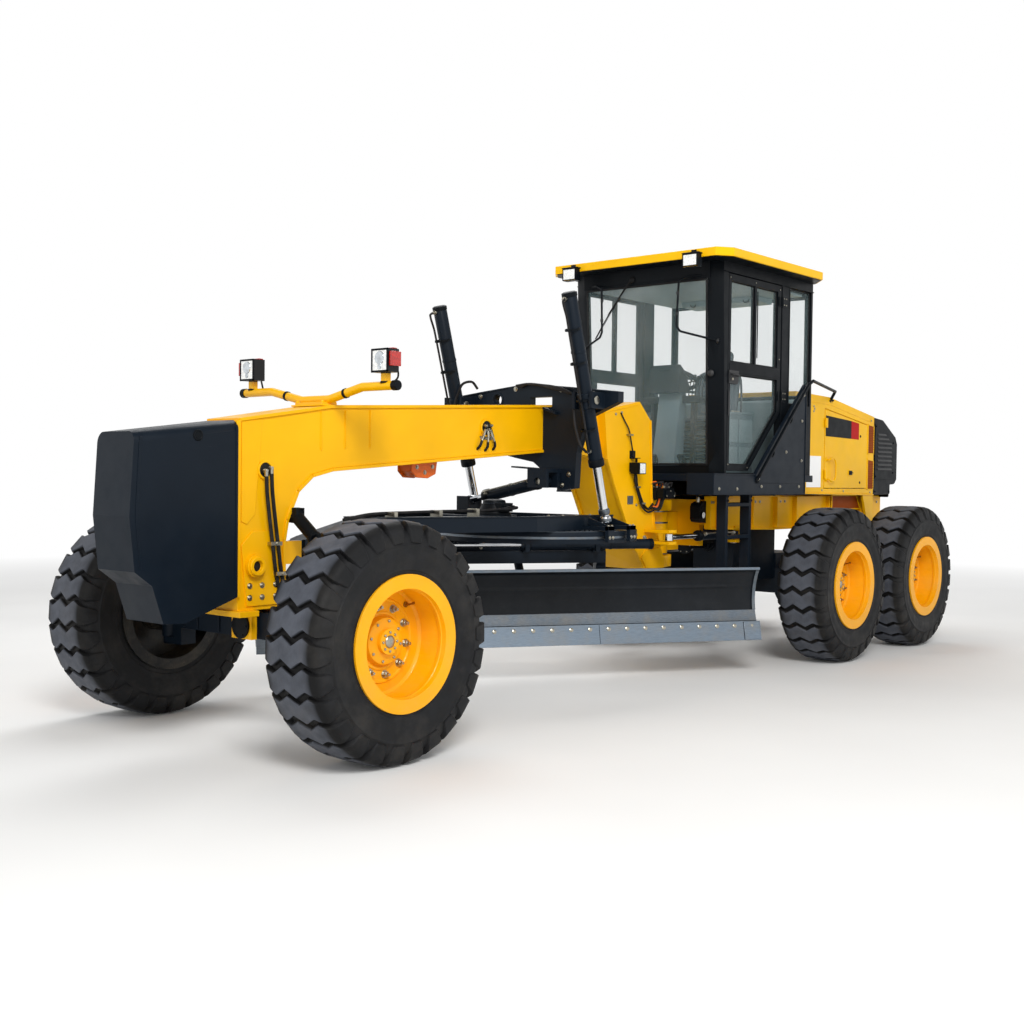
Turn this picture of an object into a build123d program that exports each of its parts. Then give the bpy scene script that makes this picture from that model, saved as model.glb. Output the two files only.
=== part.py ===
from build123d import *
import os
import math

os.makedirs("parts", exist_ok=True)

# Motor grader. Millimetres, +X forward, +Y left, +Z up, ground at Z = 0,
# origin on the ground under the middle of the overall box.

# ---------------------------------------------------------------- main sizes
FRONT_AXLE_X = 3460.0      # front wheel centres
TANDEM_X = -2760.0         # middle of the tandem
TANDEM_HALF = 770.0        # wheel centres ahead of and behind TANDEM_X
HALF_TRACK = 1080.0        # wheel centre planes
WHEEL_Z = 670.0            # wheel centre height = tyre radius
TYRE_R = 670.0
TYRE_HALF_W = 220.0
RIM_R = 315.0              # bead seat
FLANGE_R = 368.0
ARTIC_X = -790.0           # articulation pin
PIN_R = 60.0
RUN = 0.3                  # radial running clearance

KINGPIN_Y = 880.0
BALL = (3250.0, 0.0, 1100.0)        # drawbar pivot behind the nose
CIRCLE_X = 800.0                    # circle centre
BLADE_ANGLE = -32.5                 # heading of the blade's right end from +X
BLADE_HALF = 2015.0
BLADE_D = 22.0                      # cutting edge ahead of the circle centre
BLADE_U0 = 95.0                     # blade middle along its own length
EDGE_Z = 280.0
BLADE_TOP = 862.0

TRUNNION = (1030.0, 630.0, 2130.0)  # lift cylinder trunnion, left
STUD = (780.0, 630.0, 1270.0)       # lift rod eye on the drawbar, left


# ---------------------------------------------------------------- helpers
def box(x0, x1, y0, y1, z0, z1):
    return Pos((x0 + x1) / 2, (y0 + y1) / 2, (z0 + z1) / 2) * Box(
        abs(x1 - x0), abs(y1 - y0), abs(z1 - z0))


def prism(points, direction, length):
    wire = Polyline(*[Vector(*p) for p in points], close=True)
    return extrude(make_face(wire), amount=length, dir=direction)


def xz(points, y0, y1):
    return prism([(x, y0, z) for x, z in points], (0, 1, 0), y1 - y0)


def yz(points, x0, x1):
    return prism([(x0, y, z) for y, z in points], (1, 0, 0), x1 - x0)


def xy(points, z0, z1):
    return prism([(x, y, z0) for x, y in points], (0, 0, 1), z1 - z0)


def rod(p, q, r):
    p, q = Vector(*p), Vector(*q)
    return Solid.make_cylinder(r, (q - p).length, Plane(origin=p, z_dir=(q - p)))


def ball(c, r):
    return Pos(*c) * Sphere(r)


def spun(profile, x, z, y):
    # profile rows: (radius, offset along +Y from y), turned about the wheel axis
    pts = [(x + r, y + s, z) for r, s in profile]
    wire = Polyline(*[Vector(*p) for p in pts], close=True)
    return revolve(make_face(wire), axis=Axis((x, 0, z), (0, 1, 0)), revolution_arc=360)


def flip(shape):
    return mirror(shape, about=Plane.XZ)


def pair(shape):
    return Compound(children=[shape, flip(shape)])


def unit(p, q):
    v = Vector(*q) - Vector(*p)
    return v.normalized()


def along(p, q, s):
    v = Vector(*p) + unit(p, q) * s
    return (v.X, v.Y, v.Z)


def barrel(p, q, s0, s1, r, bore, blind):
    # tube about the line p -> q from s0 to s1, bored from the s1 end, with a blind end wall
    outer = rod(along(p, q, s0), along(p, q, s1), r)
    return outer - rod(along(p, q, s0 + blind), along(p, q, s1 + 5), bore)


def save(name, shape):
    export_step(shape, f"parts/{name}.step")


# ---------------------------------------------------------------- wheels
TYRE = [  # radius, half width side
    (315.5, -192), (372, -192), (420, -208), (500, -220), (575, -213), (635, -192),
    (662, -160), (670, -110), (670, 110), (662, 160), (635, 192), (575, 213),
    (500, 220), (420, 208), (372, 192), (315.5, 192)]
RIM = [  # radius, offset outboard
    (50.3, -110), (125, -110), (125, -14), (300, -14), (300, -212), (368, -212),
    (368, -198), (315, -198), (315, 198), (368, 198), (368, 212), (300, 212),
    (300, 4), (140, 4), (128, 40), (70, 46), (70, 74), (0, 74), (0, -20), (50.3, -20)]
WHEELS = [  # name, x, side
    ("front_left", FRONT_AXLE_X, 1), ("front_right", FRONT_AXLE_X, -1),
    ("mid_left", TANDEM_X + TANDEM_HALF, 1), ("mid_right", TANDEM_X + TANDEM_HALF, -1),
    ("rear_left", TANDEM_X - TANDEM_HALF, 1), ("rear_right", TANDEM_X - TANDEM_HALF, -1)]
for name, x, side in WHEELS:
    save("tyre_" + name, spun(TYRE, x, WHEEL_Z, side * HALF_TRACK))
    save("rim_" + name, spun([(r, side * s) for r, s in RIM], x, WHEEL_Z, side * HALF_TRACK))

# ---------------------------------------------------------------- front frame
BEAM_HALF = 150.0
LEG_HALF = 220.0
beam_side = [  # x, z round the nose and gooseneck
    (3720, 1900), (3020, 2010), (730, 2127), (250, 2112), (205, 1735), (730, 1778),
    (3000, 1598), (3160, 1560), (3270, 1470), (3350, 1300), (3372, 1180), (3372, 776), (3720, 776)]
leg_side = [  # x, z round the rear leg
    (250, 2112), (-230, 2200), (-380, 2060), (-410, 1440), (-455, 1200), (-545, 1010),
    (-610, 925), (-610, 828), (-330, 828), (-200, 1000), (-60, 1240), (80, 1490), (205, 1735)]
frame = xz(beam_side, -BEAM_HALF, BEAM_HALF) + xz(leg_side, -LEG_HALF, LEG_HALF)
for z0, z1, reach in ((828, 925, -560), (1305, 1395, -420)):
    frame += xy([(reach, LEG_HALF), (ARTIC_X, 148), (ARTIC_X, -148), (reach, -LEG_HALF)], z0, z1)
    frame += rod((ARTIC_X, 0, z0), (ARTIC_X, 0, z1), 148)
frame += rod((ARTIC_X, 0, 812), (ARTIC_X, 0, 1410), PIN_R)
for side in (1, -1):            # articulation cylinder lugs
    for z0, z1 in ((1040, 1064), (1136, 1160)):
        frame += box(-425, -315, side * 215, side * 466, z0, z1)
for x0, x1 in ((3345, 3385), (3536, 3576)):   # ears for the axle's centre pin
    frame += box(x0, x1, -95, 95, 590, 790) - rod((x0 - 5, 0, WHEEL_Z), (x1 + 5, 0, WHEEL_Z), 45 + RUN)
for side in (1, -1):            # drawbar clevis
    frame += box(3195, 3380, side * 62, side * 92, 1030, 1170)
frame += rod((BALL[0], -92, BALL[2]), (BALL[0], 92, BALL[2]), 35)
for side in (1, -1):            # pin bosses on the nose
    frame += rod((3611, side * 140, 1036), (3611, side * 180, 1036), 58)
save("front_frame", frame)

# counterweight on the nose
block = xz([(3742, 1888), (4425, 1800), (4455, 1340), (4422, 1040), (4312, 958),
            (4240, 745), (4100, 738), (3742, 862)], -180, 180)
block = fillet(block.edges().filter_by(lambda e: e.center().Z > 1838 and abs(e.center().Y) > 175), 60)
save("counterweight", block)

# lamp bar with its two lamps
LAMP_BAR_X = 3010.0
bar_line = [(0, 2046), (130, 2046), (430, 2112), (706, 2112)]       # y, z
bar = None
for side in (1, -1):
    for (ya, za), (yb, zb) in zip(bar_line, bar_line[1:]):
        piece = rod((LAMP_BAR_X, side * ya, za), (LAMP_BAR_X, side * yb, zb), 27)
        bar = piece if bar is None else bar + piece
        bar += ball((LAMP_BAR_X, side * yb, zb), 27)
    bar += box(LAMP_BAR_X - 22, LAMP_BAR_X + 22, side * 612, side * 652, 2130, 2200)
    bar += box(LAMP_BAR_X - 40, LAMP_BAR_X + 50, side * 562, side * 702, 2190, 2330)
bar += box(LAMP_BAR_X - 60, LAMP_BAR_X + 60, -130, 130, 2012, 2030)
bar += box(LAMP_BAR_X - 20, LAMP_BAR_X + 20, -100, 100, 2012, 2046)
bar -= frame
save("lamp_bar", bar)

# saddle plate round the gooseneck, with the trunnion lugs of the lift cylinders
saddle = yz([(-840, 2120), (-840, 2195), (-450, 2238), (0, 2282), (450, 2238), (840, 2195),
             (840, 2120), (560, 2010), (470, 1760), (455, 1500), (330, 1480), (190, 1600),
             (60, 1690), (-120, 1722), (-300, 1760), (-400, 1980), (-560, 2040)], 865, 930)
saddle -= xz(beam_side, -BEAM_HALF, BEAM_HALF)
saddle -= box(800, 1000, 25, 235, 2100, 2176)
saddle -= rod((800, -300, 2168), (1000, -300, 2168), 42)
for side in (1, -1):
    for y0, y1 in ((540, 566), (694, 720)):
        lug = box(925, 1085, side * y0, side * y1, 2070, 2190)
        lug -= rod((TRUNNION[0], side * (y0 - 5), TRUNNION[2]), (TRUNNION[0], side * (y1 + 5), TRUNNION[2]), 30 + RUN)
        saddle += lug
for x0, x1 in ((945, 975), (1075, 1105)):      # side shift cylinder ears
    ear = box(x0, x1, 150, 330, 1500, 1640) - rod((x0 - 5, 240, 1545), (x1 + 5, 240, 1545), 28 + RUN)
    saddle += ear
saddle += box(925, 1105, 150, 330, 1612, 1640)
save("saddle", saddle)

# front axle beam with kingpin yokes
axle = box(3405, 3515, -770, 770, 590, 750)
axle += rod((3350, 0, WHEEL_Z), (3571, 0, WHEEL_Z), 45)
for side in (1, -1):
    axle += box(3405, 3515, side * 700, side * 790, 480, 860)
    for z0, z1 in ((480, 520), (820, 860)):
        axle += box(3405, 3515, side * 760, side * KINGPIN_Y, z0, z1)
        axle += rod((FRONT_AXLE_X, side * KINGPIN_Y, z0), (FRONT_AXLE_X, side * KINGPIN_Y, z1), 55)
for z0, z1 in ((640, 664), (736, 760)):        # steering cylinder ears
    axle += box(3320, 3410, 215, 285, z0, z1)
save("front_axle", axle)

STEER_ARM_X = FRONT_AXLE_X - 230.0
TIE_Z = 600.0
for name, side in (("left", 1), ("right", -1)):
    y = side * KINGPIN_Y
    k = rod((FRONT_AXLE_X, y, 521), (FRONT_AXLE_X, y, 819), 62)
    k += rod((FRONT_AXLE_X, y, WHEEL_Z), (FRONT_AXLE_X, y + side * 88, WHEEL_Z), 92)
    k += rod((FRONT_AXLE_X, y, WHEEL_Z), (FRONT_AXLE_X, side * (HALF_TRACK - 26), WHEEL_Z), 50)
    k += box(STEER_ARM_X, FRONT_AXLE_X, y - side * 13, y + side * 30, 628, 662)
    k += rod((STEER_ARM_X, y, 628), (STEER_ARM_X, y, 662), 38)
    k += rod((STEER_ARM_X, y, 580), (STEER_ARM_X, y, 662), 20)
    save("knuckle_" + name, k)

tie = rod((STEER_ARM_X, -KINGPIN_Y, TIE_Z), (STEER_ARM_X, KINGPIN_Y, TIE_Z), 22)
for side in (1, -1):
    tie += rod((STEER_ARM_X, side * KINGPIN_Y, 578), (STEER_ARM_X, side * KINGPIN_Y, 624), 38)
    tie -= rod((STEER_ARM_X, side * KINGPIN_Y, 570), (STEER_ARM_X, side * KINGPIN_Y, 630), 20 + RUN)
save("tie_rod", tie)

# steering cylinder behind the axle: barrel pinned to the beam, rod to the left arm
SC_A, SC_B = (3361.0, 250.0, 700.0), (3266.0, 860.0, 700.0)
sc = barrel(SC_A, SC_B, 40, 405, 38, 20.5, 18) + rod((SC_A[0], SC_A[1], 666), (SC_A[0], SC_A[1], 734), 38)
save("steering_cylinder", sc)
sr = rod(along(SC_A, SC_B, 617), along(SC_A, SC_B, 617 - 392), 20) + rod((SC_B[0], SC_B[1], 672), (SC_B[0], SC_B[1], 728), 36)
save("steering_rod", sr)

# ---------------------------------------------------------------- drawbar, circle and blade
DB_LOW, DB_TOP = 1198.0, 1296.0
plate = xy([(2650, 130), (1500, 576), (610, 576), (610, -576), (1500, -576), (2650, -130)], DB_LOW, DB_LOW + 34)
plate -= rod((CIRCLE_X, 0, DB_LOW - 5), (CIRCLE_X, 0, DB_LOW + 60), 360)
drawbar = plate
for side in (1, -1):
    drawbar += xy([(2650, side * 130), (1500, side * 576), (1500, side * 520), (2650, side * 70)], DB_LOW, DB_TOP)
    drawbar += box(610, 1502, side * 520, side * 576, DB_LOW, DB_TOP)
drawbar += box(610, 665, -576, 576, DB_LOW, DB_TOP)
drawbar += box(1430, 1500, -576, 576, DB_LOW, DB_TOP)
drawbar += xz([(3222, 1150), (3100, 1190), (2650, 1296), (1440, 1290), (1440, DB_LOW), (2400, DB_LOW),
               (3100, 1075), (3222, 1050)], -72, 72) - box(3150, 3400, 55, 100, 900, 1300) - box(3150, 3400, -100, -55, 900, 1300)
drawbar += rod((BALL[0], -55, BALL[2]), (BALL[0], 55, BALL[2]), 62)
drawbar -= rod((BALL[0], -80, BALL[2]), (BALL[0], 80, BALL[2]), 35 + RUN)
drawbar += box(1180, 1440, -110, 110, DB_LOW, DB_LOW + 90) + rod((1300, 0, DB_LOW + 60), (1300, 0, 1392), 85)
for side in (1, -1):            # posts under the lift rods
    drawbar += box(735, 825, side * 570, side * 668, DB_LOW, 1217)
SHIFT_A = (1025.0, 240.0, 1545.0)
SHIFT_B = (1025.0, -480.0, 1395.0)
for x0, x1 in ((946, 968), (1082, 1104)):    # ears of the side shift rod
    drawbar += box(x0, x1, -560, -440, DB_LOW + 30, 1425)
save("drawbar", drawbar)


def blade_place(shape):
    return Pos(CIRCLE_X, 0, 0) * Rot(0, 0, BLADE_ANGLE) * shape


def uw(points, u0, u1):
    # profile in the blade's cross plane: (ahead of the circle centre, height)
    return prism([(u0, v, w) for v, w in points], (1, 0, 0), u1 - u0)


ring = rod((0, 0, 1105), (0, 0, 1190), 760) - rod((0, 0, 1100), (0, 0, 1195), 640)
PIVOT_V, PIVOT_W = -238.0, 430.0
circle = ring
for side in (1, -1):
    u0, u1 = sorted((side * 640, side * 680))
    arm = uw([(-408, 1105), (-300, 1105), (-300, 960), (-285, 800), (-278, 520), (-205, 470), (-205, 390),
              (-290, 380), (-350, 480), (-380, 760), (-400, 980)], u0, u1)
    arm -= rod((u0 - 5, PIVOT_V, PIVOT_W), (u1 + 5, PIVOT_V, PIVOT_W), 26 + RUN)
    circle += arm
circle += box(-60, -40, -640, -560, 1010, 1110) + box(40, 60, -640, -560, 1010, 1110)
circle += box(-640, 640, -408, -372, 960, 1120) + box(-60, 60, -670, -380, 1086, 1115)
save("circle", blade_place(circle))

# bracket that carries the moldboard's rails and tips about the arms' lower pins
bracket = box(-635, 635, -262, -222, 560, 650)
bracket += box(-635, 635, -262, -178, 905, 1000)
for side in (1, -1):
    u0, u1 = sorted((side * 560, side * 632))
    bracket += uw([(-262, 385), (-262, 1000), (-178, 1000), (-178, 905), (-200, 880), (-200, 770), (-168, 740),
                   (-168, 690), (-205, 650), (-205, 480), (-168, 460), (-168, 385)], u0, u1)
    bracket += rod((side * 560, PIVOT_V, PIVOT_W), (side * 690, PIVOT_V, PIVOT_W), 26)
bracket += box(-60, -38, -335, -240, 605, 690) + box(38, 60, -335, -240, 605, 690)
for u in (-560, 20):                     # saddles of the side shift cylinder
    bracket += box(u, u + 40, -220, -150, 990, 1030)
SIDE_V, SIDE_W = -150.0, 1055.0
bracket -= rod((-1100, SIDE_V, SIDE_W), (200, SIDE_V, SIDE_W), 42)
save("blade_bracket", blade_place(bracket))
sb = rod((-1020, SIDE_V, SIDE_W), (80, SIDE_V, SIDE_W), 40) - rod((-1000, SIDE_V, SIDE_W), (90, SIDE_V, SIDE_W), 21.5)
save("blade_shift_cylinder", blade_place(sb))

# moldboard: curved plate, two rails, a lug for the side shift rod
D = BLADE_D
def section(points):
    (a, b, c), (e, f, g) = points
    front = ThreePointArc(Vector(0, *a), Vector(0, *b), Vector(0, *c))
    back = ThreePointArc(Vector(0, *g), Vector(0, *f), Vector(0, *e))
    face = make_face([front, Line(front @ 1, back @ 0), back, Line(back @ 1, front @ 0)])
    return face


curve = section((((D - 40, 335), (D - 135, 560), (D - 58, BLADE_TOP)),
                 ((D - 62, 330), (D - 155, 562), (D - 80, BLADE_TOP))))
U_MIN, U_MAX = BLADE_U0 - BLADE_HALF, BLADE_U0 + BLADE_HALF
mold = Pos(U_MIN, 0, 0) * extrude(curve, amount=2 * BLADE_HALF, dir=(1, 0, 0))
for w0, w1 in ((410, 445), (700, 735)):
    mold += box(U_MIN + 260, U_MAX - 260, -165, -98, w0, w1)
mold += box(U_MIN + 2, U_MAX - 2, -75, -34, BLADE_TOP - 22, BLADE_TOP)
mold += uw([(-120, 735), (-165, 735), (-175, 1085), (-125, 1085), (-62, 870), (-62, 850)], 905, 935)
mold += uw([(-120, 735), (-165, 735), (-175, 1085), (-125, 1085), (-62, 870), (-62, 850)], 975, 1005)
mold -= rod((890, SIDE_V, SIDE_W), (974, SIDE_V, SIDE_W), 22)
save("moldboard", blade_place(mold))
edge = box(U_MIN, U_MAX, -9, 10, 0, 155)
edge = Pos(0, D - 14, EDGE_Z) * Rot(14, 0, 0) * edge
trim_low = box(U_MIN - 50, U_MAX + 50, -500, 500, 0, EDGE_Z)
edge = edge - trim_low
save("cutting_edge", blade_place(edge - mold))
srod = rod((-480, SIDE_V, SIDE_W), (974, SIDE_V, SIDE_W), 21) + rod((937, SIDE_V, SIDE_W), (973, SIDE_V, SIDE_W), 34)
save("blade_shift_rod", blade_place(srod))

# blade tip cylinder, from the ears under the ring to the ears on the bracket
TIP_A, TIP_B = (0.0, -600.0, 1050.0), (0.0, -300.0, 650.0)
tb = barrel(TIP_A, TIP_B, 30, 350, 34, 18.5, 18) + rod((-38, TIP_A[1], TIP_A[2]), (38, TIP_A[1], TIP_A[2]), 34)
save("tip_cylinder", blade_place(tb))
tr = rod(along(TIP_A, TIP_B, 500), along(TIP_A, TIP_B, 120), 18) + rod((-36, TIP_B[1], TIP_B[2]), (36, TIP_B[1], TIP_B[2]), 26)
save("tip_rod", blade_place(tr))

# ---------------------------------------------------------------- lift, side shift and articulation cylinders
lift = []
liftrods = []
for side in (1, -1):
    T = (TRUNNION[0], side * TRUNNION[1], TRUNNION[2])
    S = (STUD[0], side * STUD[1], STUD[2])
    b = barrel(T, S, -778, 489, 52, 33, 22)
    b += rod((T[0], T[1] - 92, T[2]), (T[0], T[1] - 45, T[2]), 30) + rod((T[0], T[1] + 45, T[2]), (T[0], T[1] + 92, T[2]), 30)
    lift.append(b)
    length = (Vector(*S) - Vector(*T)).length
    liftrods.append(rod(along(T, S, length), along(T, S, length - 1400), 32) + ball(S, 46))
save("lift_cylinders", Compound(children=lift))
save("lift_rods", Compound(children=liftrods))

SH_L = (Vector(*SHIFT_B) - Vector(*SHIFT_A)).length
sh = barrel(SHIFT_A, SHIFT_B, 40, 590, 46, 24.5, 20) + rod((977, SHIFT_A[1], SHIFT_A[2]), (1073, SHIFT_A[1], SHIFT_A[2]), 28)
sh += rod((985, SHIFT_A[1], SHIFT_A[2]), (1065, SHIFT_A[1], SHIFT_A[2]), 44)
save("drawbar_shift_cylinder", sh)
shr = rod(along(SHIFT_A, SHIFT_B, SH_L), along(SHIFT_A, SHIFT_B, SH_L - 580), 24)
shr += rod((1007, SHIFT_B[1], SHIFT_B[2]), (1043, SHIFT_B[1], SHIFT_B[2]), 38)
save("drawbar_shift_rod", shr)

ART_Y, ART_Z = 420.0, 1100.0
ART_REAR, ART_FRONT = -1400.0, -370.0
for name, side in (("left", 1), ("right", -1)):
    A = (ART_REAR, side * ART_Y, ART_Z)
    B = (ART_FRONT, side * ART_Y, ART_Z)
    b = barrel(A, B, 35, 600, 40, 22.5, 20) + rod((A[0], A[1], 1076), (A[0], A[1], 1124), 42)
    save("artic_cylinder_" + name, b)
    r = rod(along(A, B, 1030), along(A, B, 1030 - 665), 22) + rod((B[0], B[1], 1074), (B[0], B[1], 1126), 40)
    save("artic_rod_" + name, r)

# ---------------------------------------------------------------- rear frame
RAIL_IN, RAIL_OUT = 410.0, 450.0
rear = None
for side in (1, -1):
    rail = xz([(-940, 1165), (-940, 1425), (-4330, 1425), (-4330, 1060), (-3700, 1060), (-3500, 1140), (-2000, 1140)],
              min(side * RAIL_IN, side * RAIL_OUT), max(side * RAIL_IN, side * RAIL_OUT))
    rear = rail if rear is None else rear + rail
rear += box(-1110, -1050, -290, 290, 1000, 1400) + box(-1110, -1050, -430, 430, 1185, 1400)
rear += box(-1060, -850, -70, 70, 960, 1290)
rear += rod((ARTIC_X, 0, 932), (ARTIC_X, 0, 1298), 112)
rear -= rod((ARTIC_X, 0, 900), (ARTIC_X, 0, 1350), PIN_R + RUN)
rear += box(-2440, -2380, -430, 430, 1150, 1400)
rear += box(-3120, -3060, -430, 430, 1150, 1400)
rear += box(-4330, -4270, -450, 450, 860, 1425)
for z0, z1 in ((900, 940), (1010, 1050)):       # rear hitch jaws
    jaw = box(-4440, -4300, -90, 90, z0, z1) - rod((-4390, 0, z0 - 5), (-4390, 0, z1 + 5), 25)
    rear += jaw
for side in (1, -1):
    for z0, z1 in ((1028, 1052), (1148, 1172)):  # articulation cylinder ears
        rear += box(-1452, -1350, side * 370, side * 470, z0, z1)
    rear += box(-1476, -1448, side * 385, side * 455, 1028, 1172)
    rear += box(-2880, -2640, side * 410, side * 450, 791, 1160)   # axle brackets
save("rear_frame", rear)

axle_r = rod((TANDEM_X, -595, WHEEL_Z), (TANDEM_X, 595, WHEEL_Z), 120)
axle_r += box(-3010, -2510, -230, 230, 500, 880)
axle_r += box(-2860, -2660, -460, -400, 600, 791) + box(-2860, -2660, 400, 460, 600, 791)
axle_r += box(-2520, -1750, -210, 210, 640, 1120)
save("rear_axle", axle_r)

case = xz([(-3700, 560), (-3640, 500), (-1880, 500), (-1820, 560), (-1820, 790), (-1900, 860), (-3620, 860), (-3700, 790)], 605, 800)
for x in (TANDEM_X + TANDEM_HALF, TANDEM_X - TANDEM_HALF):
    case += rod((x, 790, WHEEL_Z), (x, 968, WHEEL_Z), 110)
    case += rod((x, 790, WHEEL_Z), (x, HALF_TRACK - 26, WHEEL_Z), 50)
save("tandem_cases", pair(case))

save("engine_block", box(-3950, -2560, -330, 330, 1432, 2060))

# ---------------------------------------------------------------- hood
HOOD_HALF = 575.0
T = 30.0
hood_side = [(-2200, 1462), (-2200, 2392), (-2900, 2372), (-3880, 2228), (-3880, 1440)]
hood = xz(hood_side, -HOOD_HALF, HOOD_HALF)
hood -= xz([(-2230, 1400), (-2230, 2360), (-2900, 2342), (-3900, 2195), (-3900, 1400)], -HOOD_HALF + T, HOOD_HALF - T)
door_cut = xz([(-2790, 1500), (-2790, 2262), (-3720, 2140), (-3720, 1500)], -HOOD_HALF - 5, HOOD_HALF + 5)
hood -= door_cut
save("hood", hood)
door_panel = xz([(-2796, 1506), (-2796, 2255), (-3714, 2134), (-3714, 1506)], HOOD_HALF - T, HOOD_HALF)
for z0 in (1590, 2080):                         # hinge barrels at the front edge
    door_panel += rod((-2790, 586, z0), (-2790, 586, z0 + 90), 10) + box(-2845, -2791, 574, 581, z0, z0 + 90)
save("engine_door_left", door_panel)
save("engine_door_right", flip(door_panel))

shroud = xz([(-3885, 2225), (-4110, 2205), (-4420, 2040), (-4455, 1980), (-4455, 1600), (-4400, 1545), (-4300, 1540),
             (-4300, 1440), (-3885, 1440)], -HOOD_HALF + 5, HOOD_HALF - 5)
shroud -= xz([(-3870, 2190), (-4100, 2170), (-4400, 2010), (-4420, 1970), (-4420, 1620), (-4380, 1590), (-4240, 1590),
              (-4240, 1400), (-3870, 1400)], -HOOD_HALF + 40, HOOD_HALF - 40)
save("rear_shroud", shroud)

# ---------------------------------------------------------------- cab
FLOOR_Z0, FLOOR_Z1 = 1560.0, 1620.0
floor = xy([(-640, 560), (-640, 776), (-2170, 776), (-2170, -776), (-640, -776), (-640, -560)], FLOOR_Z0, FLOOR_Z1)
for side in (1, -1):
    y0, y1 = sorted((side * 520, side * 776))
    floor += box(-640, -450, side * 545, side * 776, FLOOR_Z0, FLOOR_Z1)
    y0, y1 = sorted((side * 776, side * 800))
    floor += xz([(-440, 1450), (-440, 1625), (-1090, 1625), (-1940, 2425), (-1975, 2425), (-1975, 1450)], y0, y1)
    floor += box(-464, -440, side * 545, side * 790, 1450, 1625)
    floor += box(-2100, -1100, side * 400, side * 440, 1425, FLOOR_Z0)
save("cab_platform", floor)

CAB_HALF = 745.0
DOOR_X0, DOOR_X1 = -720.0, -1590.0
ROOF_Z = 3348.0


def post(bottom, top, z0=FLOOR_Z1, z1=ROOF_Z):
    # straight-sided post between two outlines of the same number of corners
    a = make_face(Polyline(*[Vector(x, y, z0) for x, y in bottom], close=True))
    b = make_face(Polyline(*[Vector(x, y, z1) for x, y in top], close=True))
    return loft([a, b], ruled=True)


cab = None
for side in (1, -1):
    front_post = post([(-668, side * 600), (-692, side * CAB_HALF), (-714, side * CAB_HALF), (-714, side * 690), (-722, side * 602)],
                      [(-590, side * 618), (-632, side * CAB_HALF), (-714, side * CAB_HALF), (-714, side * 690), (-652, side * 622)])
    cab = front_post if cab is None else cab + front_post
    y0, y1 = side * (CAB_HALF - 60), side * CAB_HALF
    cab += box(-1600, -1750, y0, y1, FLOOR_Z1, ROOF_Z)                 # door post
    cab += box(-2140, -2170, y0, y1, FLOOR_Z1, ROOF_Z)                 # rear post
    cab += box(-690, -2170, y0, y1, 3262, ROOF_Z)                      # side header
    cab += box(-1700, -2150, y0, y1, FLOOR_Z1, 2240)                   # side panel behind the door
cab += box(-2130, -2170, -700, 700, FLOOR_Z1, 2330)                    # rear wall
cab += box(-2110, -2170, -700, 700, 3220, ROOF_Z)
cab += xz([(-594, 3212), (-587, ROOF_Z), (-660, ROOF_Z), (-668, 3212)], -640, 640)
cab += xz([(-670, FLOOR_Z1), (-664, 1690), (-735, 1690), (-742, FLOOR_Z1)], -612, 612)
for side in (1, -1):                                                   # mirror brackets, bent from rod
    loop = [(-640, side * 625, 3240), (-545, side * 470, 3236), (-512, side * 392, 3200), (-506, side * 378, 2830), (-520, side * 410, 2786), (-646, side * 700, 2700)]
    for a, b in zip(loop, loop[1:]):
        cab += rod(a, b, 9)
        cab += ball(b, 9)
save("cab_frame", cab)

roof = xy([(-395, -810), (-395, 810), (-520, 905), (-2040, 905), (-2210, 760), (-2210, -760), (-2040, -905), (-520, -905)], 3350, 3418)
for side in (1, -1):                            # work lamps on the front edge
    roof += box(-400, -338, side * 540, side * 680, 3272, 3374)
save("cab_roof", roof)

glass = [
    post([(-669, 596), (-681, 592), (-681, -592), (-669, -596)],
         [(-598, 612), (-610, 608), (-610, -608), (-598, -612)], 1692, 3210),
    box(-2140, -2152, -684, 684, 2334, 3216)]
for side in (1, -1):
    glass.append(box(-1752, -2138, side * 712, side * 722, 2244, 3258))
save("cab_glass", Compound(children=glass))

door_line = [(DOOR_X0, 1650), (DOOR_X0, 3255), (DOOR_X1, 3255), (DOOR_X1, 2160), (-1110, 1692), (-1060, 1650)]
door = xz(door_line, CAB_HALF - 48, CAB_HALF)
door -= xz([(-758, 2545), (-758, 3200), (-1535, 3200), (-1535, 2545)], 600, 800)
door -= xz([(-758, 1700), (-758, 2440), (-1535, 2440), (-1535, 2166), (-1056, 1700)], 600, 800)
door += box(-1176, -1146, CAB_HALF - 44, CAB_HALF - 4, 2540, 3205)
for z0 in (2262, 3080):                        # hinge barrels on the door's rear edge
    door += rod((-1595, 757, z0), (-1595, 757, z0 + 80), 11) + box(-1594, -1545, 744, 752, z0, z0 + 80)
save("door_left", door)
save("door_right", flip(door))
dg = Compound(children=[
    box(-760, -1144, 714, 722, 2547, 3198), box(-1178, -1533, 714, 722, 2547, 3198),
    xz([(-760, 1702), (-760, 2438), (-1533, 2438), (-1533, 2169), (-1057, 1702)], 714, 722)])
save("door_glass_left", dg)
save("door_glass_right", flip(dg))

seat = box(-1790, -1300, -250, 250, 2010, 2130) + xz([(-1690, 2110), (-1790, 2760), (-1880, 2760), (-1800, 2010), (-1700, 2010)], -240, 240)
save("seat", seat)
inside = box(-1740, -1360, -200, 200, FLOOR_Z1, 2008)
inside += xz([(-900, FLOOR_Z1), (-900, 1700), (-1010, 2360), (-1090, 2360), (-1050, FLOOR_Z1)], -110, 110)
inside += rod((-1050, 0, 2350), (-1085, 0, 2440), 25)
wheel = Pos(-1090, 0, 2450) * Rot(0, -22, 0) * (Torus(190, 16) + Cylinder(45, 24) + Box(380, 28, 14) + Box(28, 380, 14))
inside += wheel
inside += box(-1700, -1180, 300, 420, FLOOR_Z1, 2150) + box(-1700, -1180, -420, -300, FLOOR_Z1, 2150)
save("cab_interior", inside)

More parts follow.
